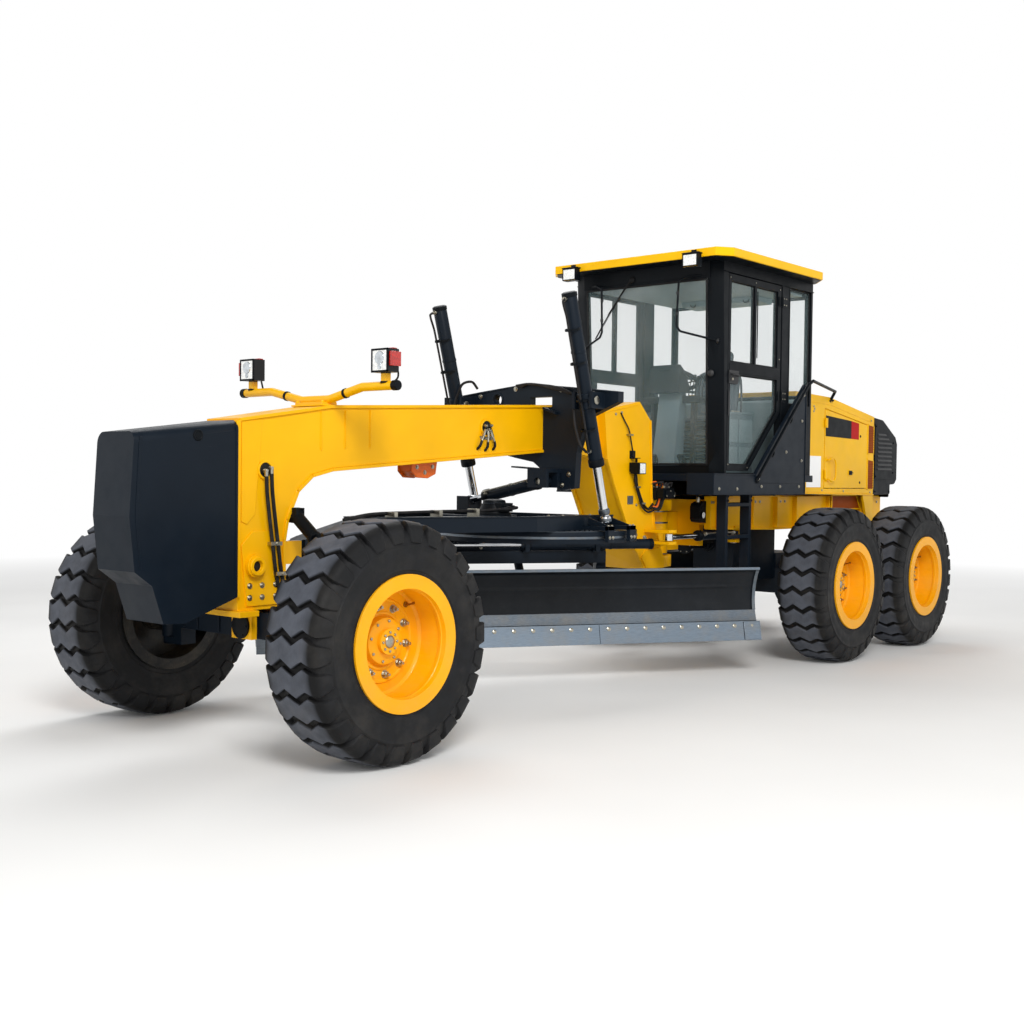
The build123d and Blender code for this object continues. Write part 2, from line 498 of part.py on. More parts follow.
# ladders, handrails
lad = box(-830, -870, 590, 680, 480, 1452) + box(-1210, -1250, 590, 680, 480, 1452)
for z in (500, 790, 1080, 1350):
    lad += box(-830, -1250, 600, 680, z, z + 30)
save("ladders", pair(lad))
rail = None
path = [(-1120, 788, 1560), (-1120, 830, 1622), (-1950, 830, 2420), (-2040, 830, 2462), (-2900, 620, 2425), (-2900, 565, 2330)]
for a, b in zip(path, path[1:]):
    piece = rod(a, b, 14)
    rail = piece if rail is None else rail + piece
    rail += ball(b, 14)
rail += rod((-1955, 830, 2422), (-1955, 796, 2330), 12)
rail -= hood
rail -= floor
save("handrails", pair(rail))
print("written")
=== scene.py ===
import math
import random

import bmesh
import bpy
from mathutils import Matrix, Vector


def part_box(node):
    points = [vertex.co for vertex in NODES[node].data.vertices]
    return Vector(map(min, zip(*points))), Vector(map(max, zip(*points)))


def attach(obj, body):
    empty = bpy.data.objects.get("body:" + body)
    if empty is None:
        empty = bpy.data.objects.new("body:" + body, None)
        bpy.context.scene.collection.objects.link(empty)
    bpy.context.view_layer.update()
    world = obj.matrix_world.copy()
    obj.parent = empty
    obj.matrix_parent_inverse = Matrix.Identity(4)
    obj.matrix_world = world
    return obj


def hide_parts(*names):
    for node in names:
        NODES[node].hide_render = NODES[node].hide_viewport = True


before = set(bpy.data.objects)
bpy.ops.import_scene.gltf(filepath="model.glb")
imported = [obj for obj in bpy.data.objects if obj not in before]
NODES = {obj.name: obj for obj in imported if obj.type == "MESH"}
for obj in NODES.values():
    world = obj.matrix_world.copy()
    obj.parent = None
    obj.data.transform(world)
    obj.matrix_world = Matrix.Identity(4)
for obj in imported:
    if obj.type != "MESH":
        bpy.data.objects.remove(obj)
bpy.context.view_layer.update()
random.seed(7)


# ------------------------------------------------------------------ small helpers
def srgb(r, g, b):
    def f(c):
        c /= 255.0
        return c / 12.92 if c <= 0.04045 else ((c + 0.055) / 1.055) ** 2.4
    return (f(r), f(g), f(b), 1.0)


def V(*p):
    return Vector(p)


class Net:
    """Node tree builder for one material."""

    def __init__(self, name):
        self.m = bpy.data.materials.new(name)
        self.m.use_nodes = True
        self.t = self.m.node_tree
        self.t.nodes.clear()
        self.out = self.t.nodes.new("ShaderNodeOutputMaterial")
        self.sh = self.t.nodes.new("ShaderNodeBsdfPrincipled")
        self.t.links.new(self.sh.outputs[0], self.out.inputs[0])
        self.co = self.t.nodes.new("ShaderNodeTexCoord").outputs["Object"]

    def n(self, kind, **kw):
        node = self.t.nodes.new(kind)
        for k, v in kw.items():
            setattr(node, k, v)
        return node

    def link(self, a, b):
        self.t.links.new(a, b)

    def noise(self, scale, detail=4.0, rough=0.55, stretch=None, distortion=0.0):
        node = self.n("ShaderNodeTexNoise")
        node.inputs["Scale"].default_value = scale
        node.inputs["Detail"].default_value = detail
        node.inputs["Roughness"].default_value = rough
        node.inputs["Distortion"].default_value = distortion
        if stretch:
            mp = self.n("ShaderNodeMapping")
            mp.inputs["Scale"].default_value = stretch
            self.link(self.co, mp.inputs[0])
            self.link(mp.outputs[0], node.inputs["Vector"])
        else:
            self.link(self.co, node.inputs["Vector"])
        return node.outputs["Fac"]

    def ramp(self, fac, stops):
        node = self.n("ShaderNodeValToRGB")
        e = node.color_ramp.elements
        e[0].position, e[0].color = stops[0][0], stops[0][1]
        e[1].position, e[1].color = stops[-1][0], stops[-1][1]
        for p, c in stops[1:-1]:
            x = e.new(p)
            x.color = c
        self.link(fac, node.inputs[0])
        return node.outputs["Color"]

    def span(self, fac, a, b, lo=0.0, hi=1.0):
        node = self.n("ShaderNodeMapRange")
        node.inputs["From Min"].default_value = a
        node.inputs["From Max"].default_value = b
        node.inputs["To Min"].default_value = lo
        node.inputs["To Max"].default_value = hi
        self.link(fac, node.inputs["Value"])
        return node.outputs["Result"]

    def math(self, op, a, b=None):
        node = self.n("ShaderNodeMath", operation=op)
        for i, x in enumerate((a, b)):
            if x is None:
                continue
            if isinstance(x, (int, float)):
                node.inputs[i].default_value = x
            else:
                self.link(x, node.inputs[i])
        return node.outputs[0]

    def mix(self, fac, a, b):
        node = self.n("ShaderNodeMix", data_type="RGBA")
        for i, x in ((0, fac), (6, a), (7, b)):
            if isinstance(x, (int, float, tuple)):
                node.inputs[i].default_value = x
            else:
                self.link(x, node.inputs[i])
        return node.outputs[2]

    def z(self):
        node = self.n("ShaderNodeSeparateXYZ")
        self.link(self.co, node.inputs[0])
        return node.outputs["Z"]

    def axis(self, k):
        node = self.n("ShaderNodeSeparateXYZ")
        self.link(self.co, node.inputs[0])
        return node.outputs[k]

    def bump(self, height, strength=0.2, distance=0.002):
        node = self.n("ShaderNodeBump")
        node.inputs["Strength"].default_value = strength
        node.inputs["Distance"].default_value = distance
        self.link(height, node.inputs["Height"])
        self.link(node.outputs[0], self.sh.inputs["Normal"])

    def set(self, **kw):
        names = {"rough": "Roughness", "metal": "Metallic", "coat": "Coat Weight", "coat_rough": "Coat Roughness",
                 "spec": "Specular IOR Level", "trans": "Transmission Weight", "ior": "IOR", "alpha": "Alpha",
                 "sheen": "Sheen Weight", "emit": "Emission Strength"}
        for k, v in kw.items():
            self.sh.inputs[names[k]].default_value = v
        return self


def paint(name, rgb, rough=0.32, coat=0.35, dust=0.35, dust_rgb=(176, 160, 132), shade=0.86, low=1.1, spec=0.3, split=None):
    """Sprayed paint: slight tone drift, orange peel, fine scratches, and road dust that thickens near the ground."""
    n = Net(name)
    base = srgb(*rgb)
    deep = tuple(c * shade for c in base[:3]) + (1.0,)
    tone = n.mix(n.span(n.noise(1.7, 3), 0.35, 0.7), base, deep)
    scr = n.span(n.noise(38, 6, 0.7, stretch=(0.25, 1.0, 2.4)), 0.66, 0.74)
    tone = n.mix(n.math("MULTIPLY", scr, 0.22), tone, tuple(min(1, c * 1.25 + 0.03) for c in base[:3]) + (1.0,))
    if split:       # second colour past a plane: axis, start, end, colour
        k, a, b, other = split
        blend = n.n("ShaderNodeMix", data_type="RGBA")
        n.link(tone, blend.inputs[6])
        blend.inputs[7].default_value = srgb(*other)
        n.link(n.span(n.math("ABSOLUTE", n.axis(k)), a, b), blend.inputs[0])
        tone = blend.outputs[2]
    height = n.span(n.z(), 0.1, low, 1.0, 0.0)
    grime = n.math("MULTIPLY", n.span(n.noise(5.5, 6, 0.62), 0.42, 0.68), height)
    speck = n.math("MULTIPLY", n.span(n.noise(46, 3, 0.6), 0.55, 0.7), height)
    mask = n.math("MULTIPLY", n.math("ADD", grime, n.math("MULTIPLY", speck, 0.5)), dust)
    n.link(n.mix(mask, tone, srgb(*dust_rgb)), n.sh.inputs["Base Color"])
    n.link(n.math("ADD", n.span(n.noise(9, 5), 0.3, 0.75, rough - 0.07, rough + 0.1), n.math("MULTIPLY", mask, 0.45)), n.sh.inputs["Roughness"])
    n.bump(n.noise(150, 2, 0.5), 0.06, 0.0006)
    n.set(coat=coat, coat_rough=0.1, spec=spec)
    return n.m


def bare_metal(name, rgb, rough=0.3, grain=(3, 60, 60), dust=0.0, metal=1.0):
    n = Net(name)
    base = srgb(*rgb)
    dark = tuple(c * 0.62 for c in base[:3]) + (1.0,)
    streak = n.noise(14, 5, 0.6, stretch=grain)
    tone = n.mix(n.span(streak, 0.35, 0.7), base, dark)
    if dust:
        mask = n.math("MULTIPLY", n.span(n.noise(7, 6, 0.65), 0.45, 0.7), dust)
        tone = n.mix(mask, tone, srgb(150, 138, 118))
    n.link(tone, n.sh.inputs["Base Color"])
    n.link(n.span(streak, 0.3, 0.75, rough - 0.08, rough + 0.14), n.sh.inputs["Roughness"])
    n.bump(streak, 0.12, 0.0008)
    n.set(metal=metal)
    return n.m


def chrome(name):
    n = Net(name)
    n.link(n.mix(n.span(n.noise(3.5, 4), 0.35, 0.7), srgb(226, 228, 230), srgb(196, 200, 205)), n.sh.inputs["Base Color"])
    n.link(n.span(n.noise(22, 4, 0.6, stretch=(1, 1, 0.2)), 0.3, 0.75, 0.07, 0.2), n.sh.inputs["Roughness"])
    n.bump(n.noise(90, 2), 0.03, 0.0004)
    n.set(metal=1.0)
    return n.m


def rubber(name, rgb=(38, 38, 40), dust=0.4, top=None, hub=None):
    """With hub=(x, z) the tops of the raised tread blocks get a painted highlight, and the grooves, lug sides and
    shoulders get painted shade.
    """
    n = Net(name)
    base = srgb(*rgb)
    light = srgb(*(top or tuple(min(255, c + 26) for c in rgb)))
    mott = n.noise(16, 6, 0.62)
    tone = n.mix(n.span(mott, 0.42, 0.7, 0.0, 0.75), base, light)
    if hub:
        dx = n.math("SUBTRACT", n.axis(0), hub[0])
        dz = n.math("SUBTRACT", n.axis(2), hub[1])
        rad = n.math("SQRT", n.math("ADD", n.math("MULTIPLY", dx, dx), n.math("MULTIPLY", dz, dz)))
        # painted highlight: lug tops lifted towards a bluish grey, broken up by noise
        lug_top_highlight = n.math("MULTIPLY", n.span(rad, 0.6575, 0.6680), n.span(n.noise(11, 5, 0.6), 0.3, 0.6, 0.7, 1.0))
        # painted shade: near-black from the shoulder outwards, so grooves and lug sides stay dark
        tone = n.mix(n.span(rad, 0.610, 0.645, 0.0, 0.8), tone, srgb(9, 9, 10))
        tone = n.mix(lug_top_highlight, tone, srgb(82, 86, 95))
    powder = n.math("MULTIPLY", n.span(n.noise(4.2, 6, 0.66), 0.46, 0.72), n.span(n.z(), 0.0, 1.4, 1.0, 0.35))
    mask = n.math("MULTIPLY", powder, dust)
    n.link(n.mix(mask, tone, srgb(118, 112, 103)), n.sh.inputs["Base Color"])
    n.link(n.span(mott, 0.3, 0.75, 0.5, 0.78), n.sh.inputs["Roughness"])
    fine = n.noise(210, 3, 0.6)
    n.bump(n.math("ADD", n.math("MULTIPLY", mott, 0.7), n.math("MULTIPLY", fine, 0.4)), 0.3, 0.0016)
    n.set(spec=0.22)
    return n.m


def plastic(name, rgb, rough=0.5, bump=0.18, grain=260):
    n = Net(name)
    base = srgb(*rgb)
    g = n.noise(grain, 3, 0.55)
    n.link(n.mix(n.span(n.noise(5, 4), 0.35, 0.7, 0.0, 0.6), base, tuple(c * 1.35 + 0.004 for c in base[:3]) + (1.0,)), n.sh.inputs["Base Color"])
    n.link(n.span(g, 0.3, 0.7, rough - 0.08, rough + 0.1), n.sh.inputs["Roughness"])
    n.bump(g, bump, 0.0009)
    return n.m


def cloth(name, rgb):
    n = Net(name)
    base = srgb(*rgb)
    wa = n.n("ShaderNodeTexWave", wave_type="BANDS", bands_direction="X")
    wb = n.n("ShaderNodeTexWave", wave_type="BANDS", bands_direction="Z")
    wc = n.n("ShaderNodeTexWave", wave_type="BANDS", bands_direction="Y")
    for w in (wa, wb, wc):
        w.inputs["Scale"].default_value = 130
        w.inputs["Distortion"].default_value = 0.4
        n.link(n.co, w.inputs["Vector"])
    weave = n.math("MULTIPLY", n.math("ADD", wa.outputs["Fac"], wb.outputs["Fac"]), n.math("ADD", wc.outputs["Fac"], 0.6))
    n.link(n.mix(n.span(weave, 0.2, 2.2), base, tuple(c * 2.0 + 0.012 for c in base[:3]) + (1.0,)), n.sh.inputs["Base Color"])
    n.link(n.span(n.noise(12, 4), 0.3, 0.7, 0.78, 0.95), n.sh.inputs["Roughness"])
    n.bump(weave, 0.35, 0.001)
    n.set(sheen=0.3)
    return n.m


def glazing(name, tint=(140, 170, 172), alpha=0.09):
    n = Net(name)
    smear = n.span(n.noise(2.6, 5, 0.6, stretch=(1, 1, 0.5)), 0.42, 0.75)
    n.link(n.mix(smear, srgb(*tint), srgb(196, 208, 208)), n.sh.inputs["Base Color"])
    n.link(n.span(smear, 0.0, 1.0, 0.03, 0.1), n.sh.inputs["Roughness"])
    n.link(n.span(smear, 0.0, 1.0, alpha, alpha + 0.03), n.sh.inputs["Alpha"])
    n.set(spec=0.4, ior=1.45)
    n.m.surface_render_method = "DITHERED"
    return n.m


def lens(name, rgb, glow=0.0):
    n = Net(name)
    base = srgb(*rgb)
    v = n.n("ShaderNodeTexVoronoi")
    v.inputs["Scale"].default_value = 85
    n.link(n.co, v.inputs["Vector"])
    n.link(n.mix(n.span(v.outputs["Distance"], 0.0, 0.8), base, tuple(c * 0.55 for c in base[:3]) + (1.0,)), n.sh.inputs["Base Color"])
    n.bump(v.outputs["Distance"], 0.5, 0.002)
    n.link(n.span(n.noise(30, 3), 0.3, 0.7, 0.06, 0.16), n.sh.inputs["Roughness"])
    n.set(coat=0.8, coat_rough=0.04)
    if glow:
        n.sh.inputs["Emission Color"].default_value = base
        n.set(emit=glow)
    return n.m


# ------------------------------------------------------------------ mesh code
class Mesh:
    """Collects faces for one piece. All points in metres, in the CAD frame."""

    def __init__(self):
        self.v, self.f, self.mi = [], [], []
        self.slot = 0

    def add(self, verts, faces):
        k = len(self.v)
        self.v += [tuple(p) for p in verts]
        self.f += [tuple(i + k for i in f) for f in faces]
        self.mi += [self.slot] * len(faces)
        return self

    def use(self, i):
        self.slot = i
        return self

    def box(self, lo, hi, mat=None):
        x0, y0, z0 = (min(a, b) for a, b in zip(lo, hi))
        x1, y1, z1 = (max(a, b) for a, b in zip(lo, hi))
        p = [V(x, y, z) for z in (z0, z1) for y in (y0, y1) for x in (x0, x1)]
        if mat:
            p = [mat @ q for q in p]
        return self.add(p, [(0, 2, 3, 1), (4, 5, 7, 6), (0, 1, 5, 4), (2, 6, 7, 3), (0, 4, 6, 2), (1, 3, 7, 5)])

    def slab(self, c, size, mat=None):
        h = V(*size) * 0.5
        return self.box(V(*c) - h, V(*c) + h, mat)

    def prism(self, pts, lo, hi, plane="xz"):
        """Polygon (counter-clockwise or not) swept from lo to hi along the missing axis."""
        put = {"xz": lambda a, b, t: (a, t, b), "xy": lambda a, b, t: (a, b, t), "yz": lambda a, b, t: (t, a, b)}[plane]
        n = len(pts)
        v = [put(a, b, lo) for a, b in pts] + [put(a, b, hi) for a, b in pts]
        f = [tuple(range(n)), tuple(range(2 * n - 1, n - 1, -1))]
        f += [(i, i + n, (i + 1) % n + n, (i + 1) % n) for i in range(n)]
        return self.add(v, f)

    def rings(self, loops, close_ends=True, wrap=False):
        """Skin through loops of equal point counts."""
        n = len(loops[0])
        v = [p for l in loops for p in l]
        f = []
        m = len(loops)
        for i in range(m if wrap else m - 1):
            a, b = i * n, ((i + 1) % m) * n
            for j in range(n):
                f.append((a + j, a + (j + 1) % n, b + (j + 1) % n, b + j))
        if close_ends and not wrap:
            f.append(tuple(range(n - 1, -1, -1)))
            f.append(tuple((m - 1) * n + j for j in range(n)))
        return self.add(v, f)

    def turn(self, c, axis, profile, seg=48, close=False, span=None):
        """Profile rows (radius, offset along axis) turned about the axis through c."""
        a, b, w = basis(axis)
        loops = []
        total = span or 2 * math.pi
        count = seg if span is None else seg + 1
        for i in range(count):
            t = total * i / seg
            d = a * math.cos(t) + b * math.sin(t)
            loops.append([V(*c) + d * r + w * s for r, s in profile])
        n = len(profile)
        v = [p for l in loops for p in l]
        f = []
        if not close and span is None and n > 2 and min(profile[0][0], profile[-1][0]) > 0.001:
            close = True
        for i in range(seg):
            j = (i + 1) % count
            for k in range(n - 1 + (1 if close else 0)):
                f.append((i * n + k, j * n + k, j * n + (k + 1) % n, i * n + (k + 1) % n))
        if not close and span is None:
            for k in (0, n - 1):
                if profile[k][0] > 1e-6:
                    f.append(tuple(i * n + k for i in range(count)))
        return self.add(v, f)

    def cyl(self, p, q, r, seg=24, r2=None):
        p, q = V(*p), V(*q)
        a, b, w = basis(q - p)
        r2 = r if r2 is None else r2
        l0 = [p + (a * math.cos(2 * math.pi * i / seg) + b * math.sin(2 * math.pi * i / seg)) * r for i in range(seg)]
        l1 = [q + (a * math.cos(2 * math.pi * i / seg) + b * math.sin(2 * math.pi * i / seg)) * r2 for i in range(seg)]
        return self.rings([l0, l1])

    def ring(self, c, axis, r, w, h, seg=40):
        """Square-edged ring of outer radius r, wall w, height h centred on c."""
        return self.turn(c, axis, [(r - w, -h / 2), (r, -h / 2), (r, h / 2), (r - w, h / 2)], seg, close=True)

    def torus(self, c, axis, R, r, seg=40, k=10):
        return self.turn(c, axis, [(R + r * math.cos(2 * math.pi * i / k), r * math.sin(2 * math.pi * i / k)) for i in range(k)], seg, close=True)

    def tube(self, pts, r, k=10, smooth=6):
        """Round tube along a smooth line through pts."""
        line = curve_points(pts, smooth)
        loops = []
        up = None
        for i, p in enumerate(line):
            t = (line[min(i + 1, len(line) - 1)] - line[max(i - 1, 0)]).normalized()
            if up is None:
                up = t.orthogonal().normalized()
            up = (up - t * up.dot(t)).normalized()
            s = t.cross(up)
            loops.append([p + (up * math.cos(2 * math.pi * j / k) + s * math.sin(2 * math.pi * j / k)) * r for j in range(k)])
        return self.rings(loops)

    def hexbolt(self, c, axis, r=0.012, h=0.009, washer=True, stud=0.0):
        """Hex head with a washer, standing on the point c along axis."""
        c, w = V(*c), V(*axis).normalized()
        if washer:
            self.cyl(c - w * 0.001, c + w * 0.0025, r * 1.38, 20)
        self.cyl(c, c + w * h, r, 6)
        self.cyl(c + w * h, c + w * (h + 0.0015), r * 0.82, 6, r * 0.7)
        if stud:
            self.cyl(c + w * h, c + w * (h + stud), r * 0.5, 12)
        return self

    def ball(self, c, r, seg=20, k=10):
        prof = [(r * math.sin(math.pi * i / k), -r * math.cos(math.pi * i / k)) for i in range(k + 1)]
        prof[0], prof[-1] = (1e-5, -r), (1e-5, r)
        return self.turn(c, (0, 0, 1), prof, seg)

    def dome(self, c, axis, r, h, seg=28, k=5):
        prof = [(r * math.cos(math.pi / 2 * i / k), h * math.sin(math.pi / 2 * i / k)) for i in range(k)] + [(1e-5, h)]
        return self.turn(c, axis, prof, seg)

    def mirrored(self, other):
        """Adds other flipped across y = 0."""
        k = len(self.v)
        self.v += [(x, -y, z) for x, y, z in other.v]
        self.f += [tuple(i + k for i in reversed(f)) for f in other.f]
        self.mi += list(other.mi)
        return self

    def merge(self, other, mat=None):
        k = len(self.v)
        self.v += [tuple(mat @ V(*p)) if mat else p for p in other.v]
        self.f += [tuple(i + k for i in f) for f in other.f]
        self.mi += list(other.mi)
        return self


def basis(axis):
    w = V(*axis).normalized()
    a = V(0, 0, 1).cross(w) if abs(w.z) < 0.95 else V(1, 0, 0).cross(w)
    a.normalize()
    return a, w.cross(a), w


def curve_points(pts, k):
    """Smooth line through pts (centripetal in spirit, cubic Hermite with averaged tangents)."""
    pts = [V(*p) for p in pts]
    if len(pts) < 3 or k < 2:
        return pts
    out = []
    n = len(pts)
    for i in range(n - 1):
        p0, p1, p2, p3 = pts[max(i - 1, 0)], pts[i], pts[i + 1], pts[min(i + 2, n - 1)]
        d = (p2 - p1).length
        m1 = (p2 - p0).normalized() * d if i > 0 else (p2 - p1)
        m2 = (p3 - p1).normalized() * d if i < n - 2 else (p2 - p1)
        for s in range(k):
            t = s / k
            out.append(p1 * (2 * t ** 3 - 3 * t ** 2 + 1) + m1 * (t ** 3 - 2 * t ** 2 + t) * 0.9 + p2 * (3 * t ** 2 - 2 * t ** 3) + m2 * (t ** 3 - t ** 2) * 0.9)
    out.append(pts[-1])
    return out


def piece(name, mesh, mats, body, bevel=0.0, smooth=38, segs=2, sub=0):
    """Makes the object for a Mesh, with its materials, and lets it ride on a CAD body."""
    me = bpy.data.meshes.new(name)
    me.from_pydata(mesh.v, [], mesh.f)
    mats = mats if isinstance(mats, (list, tuple)) else [mats]
    for m in mats:
        me.materials.append(m)
    me.polygons.foreach_set("material_index", mesh.mi)
    bm = bmesh.new()
    bm.from_mesh(me)
    bmesh.ops.recalc_face_normals(bm, faces=bm.faces)
    bm.to_mesh(me)
    bm.free()
    me.update()
    ob = bpy.data.objects.new(name, me)
    bpy.context.collection.objects.link(ob)
    if smooth:
        me.shade_smooth()
        me.set_sharp_from_angle(angle=math.radians(smooth))
    if bevel:
        b = ob.modifiers.new("edge", "BEVEL")
        b.width, b.segments, b.limit_method, b.angle_limit = bevel, segs, "ANGLE", math.radians(36)
        b.harden_normals = False
        b.use_clamp_overlap = True
    if sub:
        s = ob.modifiers.new("round", "SUBSURF")
        s.levels = s.render_levels = sub
    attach(ob, body)
    return ob


def dress(node, mats, bevel=0.004, angle=34, segs=2):
    """New material and softened edges on a CAD node."""
    ob = NODES[node]
    ob.data.materials.clear() if not ob.material_slots else None
    mats = mats if isinstance(mats, (list, tuple)) else [mats]
    for i, s in enumerate(ob.material_slots):
        s.material = mats[min(i, len(mats) - 1)]
    if not ob.material_slots:
        ob.data.materials.append(mats[0])
    if bevel:
        w = ob.modifiers.new("weld", "WELD")
        w.merge_threshold = 0.0002
        b = ob.modifiers.new("edge", "BEVEL")
        b.width, b.segments, b.limit_method, b.angle_limit = bevel, segs, "ANGLE", math.radians(angle)
        b.use_clamp_overlap = True
        b.harden_normals = True
    return ob


# ------------------------------------------------------------------ materials
YELLOW = paint("paint_yellow", (253, 194, 2), 0.38, 0.05, 0.05, spec=0.14)
YELLOW_LOW = paint("paint_yellow_frame", (252, 187, 2), 0.38, 0.06, 0.08, spec=0.15)
# rim paint: yellow on the outer half, near-black on the inner half of each rim as painted shade for the inside of the
# wheel
RIM_PAINT_INNER_SHADE = paint("paint_rim_inner_shade", (252, 176, 2), 0.36, 0.08, 0.10, low=1.4, spec=0.22, split=(1, 1.076, 1.072, (15, 16, 18)))
LAMPBAR = paint("paint_lamp_bar", (253, 190, 2), 0.34, 0.16, 0.05, spec=0.22, split=(2, 2.183, 2.186, (12, 14, 17)))
ORANGE = paint("paint_orange", (238, 108, 12), 0.4, 0.1, 0.2)
SLATE = paint("paint_slate", (19, 28, 38), 0.4, 0.03, 0.05, (70, 76, 82), 0.8, 1.6, spec=0.12)
BLADEPAINT = paint("paint_blade", (17, 22, 28), 0.42, 0.08, 0.10, (80, 82, 84), 0.75, 1.3, spec=0.18)
BLACK = paint("paint_black", (12, 17, 22), 0.44, 0.02, 0.04, (60, 62, 62), 0.75, 1.2, spec=0.1)
STEEL = bare_metal("worn_steel", (122, 132, 142), 0.4, (2, 2, 40), 0.35)
EDGE = bare_metal("cutting_steel", (132, 146, 160), 0.36, (1.5, 1.5, 55), 0.25, 0.85)
CHROME = chrome("hard_chrome")
ZINC = bare_metal("zinc_fittings", (186, 182, 168), 0.3, (20, 20, 20), 0.1)
# tyre rubber with painted shade in the grooves and a painted highlight on the lug tops
TYRES = {x: rubber(f"tyre_rubber_{k}", (19, 20, 22), 0.14, (34, 35, 38), hub=(x, 0.670)) for k, x in enumerate((3.460, -1.990, -3.530))}
HOSE = rubber("hose_rubber", (20, 20, 22), 0.12)
SEAL = rubber("seal_rubber", (16, 16, 17), 0.05)
PLASTIC = plastic("moulded_plastic", (26, 27, 29), 0.5)
PLASTIC_GREY = plastic("grey_plastic", (74, 76, 78), 0.55)
TRIM = plastic("cab_lining", (128, 144, 147), 0.7, 0.3, 140)
FLOORMAT = rubber("floor_mat", (28, 28, 29), 0.25)
FABRIC = cloth("seat_fabric", (70, 78, 84))
CONSOLE = plastic("console_grey", (104, 119, 124), 0.6, 0.25, 180)
GLASS = glazing("cab_glazing")
MIRROR = bare_metal("mirror_glass", (222, 228, 232), 0.06, (2, 2, 2))
LENS = lens("lamp_lens", (236, 238, 236), 0.35)
LENS_RED = lens("lens_red", (196, 26, 14), 0.06)
LENS_AMBER = lens("lens_amber", (236, 118, 12), 0.08)
# brown: painted shade on the hood's louvres and recesses, and rust colour on the exhaust manifold and turbocharger
SHADE_AND_RUST_BROWN = paint("recess_shade_and_rust_brown", (148, 68, 14), 0.6, 0.0, 0.15, spec=0.08)
WHITE = paint("plate_white", (255, 255, 254), 0.5, 0.1, 0.05, shade=0.97)
RED = paint("badge_red", (186, 10, 10), 0.45, 0.0, 0.05, spec=0.08)
COPPER = bare_metal("brass_fittings", (176, 138, 66), 0.32, (20, 20, 20))

# ------------------------------------------------------------------ CAD nodes: finish and softened edges
DRESS = {
    "front_frame": (YELLOW_LOW, 0.006), "saddle": (SLATE, 0.005), "counterweight": (SLATE, 0.014), "lamp_bar": (LAMPBAR, 0.005),
    "front_axle": (SLATE, 0.006), "knuckle_left": (SLATE, 0.004), "knuckle_right": (SLATE, 0.004),
    "tie_rod": (BLACK, 0.003), "drawbar": (SLATE, 0.005), "circle": (SLATE, 0.005), "blade_bracket": (SLATE, 0.005),
    "rear_frame": (YELLOW_LOW, 0.005), "rear_axle": (SLATE, 0.008), "tandem_cases": (SLATE, 0.008),
    "hood": (YELLOW, 0.009), "engine_door_left": (YELLOW, 0.004), "engine_door_right": (YELLOW, 0.004),
    "cab_platform": (SLATE, 0.004), "cab_roof": (YELLOW, 0.012), "moldboard": (BLADEPAINT, 0.003),
    "cutting_edge": (EDGE, 0.002), "lift_cylinders": (SLATE, 0.003), "lift_rods": (CHROME, 0),
    "artic_cylinder_left": (SLATE, 0.003), "artic_cylinder_right": (SLATE, 0.003), "artic_rod_left": (CHROME, 0),
    "artic_rod_right": (CHROME, 0), "tip_cylinder": (SLATE, 0.003), "tip_rod": (CHROME, 0),
    "drawbar_shift_cylinder": (SLATE, 0.003), "drawbar_shift_rod": (CHROME, 0), "blade_shift_cylinder": (SLATE, 0.003),
    "blade_shift_rod": (CHROME, 0), "steering_cylinder": (BLACK, 0.003), "steering_rod": (CHROME, 0),
    "rear_shroud": (BLACK, 0.014), "cab_frame": (BLACK, 0.007), "door_left": (BLACK, 0.006), "door_right": (BLACK, 0.006),
    "ladders": (SLATE, 0.003), "handrails": (BLACK, 0), "engine_block": (STEEL, 0.02), "cab_glass": (GLASS, 0.0),
    "door_glass_left": (GLASS, 0), "door_glass_right": (GLASS, 0), "cab_interior": (CONSOLE, 0.012),
}
for node, (mat, width) in DRESS.items():
    dress(node, mat, width)

# ------------------------------------------------------------------ wheels
WHEELS = [("front_left", 3.460, 1, 0.0), ("front_right", 3.460, -1, 0.05), ("mid_left", -1.990, 1, 0.09),
          ("mid_right", -1.990, -1, 0.02), ("rear_left", -3.530, 1, 0.13), ("rear_right", -3.530, -1, 0.07)]
TRACK, AXLE_Z = 1.080, 0.670

CARCASS = [  # offset from the middle plane, radius
    (0.186, 0.3165), (0.1925, 0.340), (0.1945, 0.368), (0.2005, 0.388), (0.2005, 0.396), (0.2045, 0.400), (0.2065, 0.412),
    (0.2045, 0.424), (0.2085, 0.440), (0.2140, 0.470), (0.2165, 0.500), (0.2155, 0.520), (0.2180, 0.526), (0.2180, 0.534),
    (0.2125, 0.540), (0.2075, 0.566), (0.1985, 0.590), (0.1850, 0.610), (0.1660, 0.626), (0.1350, 0.637), (0.0800, 0.643), (0.0300, 0.6445)]
LUG = [  # top offset, top radius, foot offset, foot radius, half width
    (0.0, 0.6700, 0.0, 0.638, 0.0575), (0.020, 0.6700, 0.020, 0.638, 0.0575), (0.040, 0.6700, 0.040, 0.638, 0.0580), (0.060, 0.6698, 0.060, 0.637, 0.0580),
    (0.082, 0.6695, 0.082, 0.636, 0.0585), (0.101, 0.6688, 0.100, 0.634, 0.0590), (0.122, 0.6680, 0.118, 0.632, 0.0600), (0.150, 0.6640, 0.142, 0.626, 0.0600),
    (0.177, 0.6550, 0.162, 0.618, 0.0590), (0.196, 0.6390, 0.176, 0.608, 0.0570), (0.2060, 0.6180, 0.186, 0.596, 0.0520),
    (0.2120, 0.5930, 0.195, 0.580, 0.0460), (0.2155, 0.5680, 0.203, 0.560, 0.0400), (0.2175, 0.5500, 0.209, 0.546, 0.0320)]
LUGS = 26
ZIG = [(-0.30, 0.016), (-0.190, 0.016), (-0.118, -0.036), (-0.040, 0.034), (0.040, -0.034), (0.118, 0.036), (0.190, -0.016), (0.30, -0.016)]


def zigzag(o):
    for (a, x), (b, y) in zip(ZIG, ZIG[1:]):
        if a <= o <= b:
            return x + (y - x) * (o - a) / (b - a)
    return 0.0


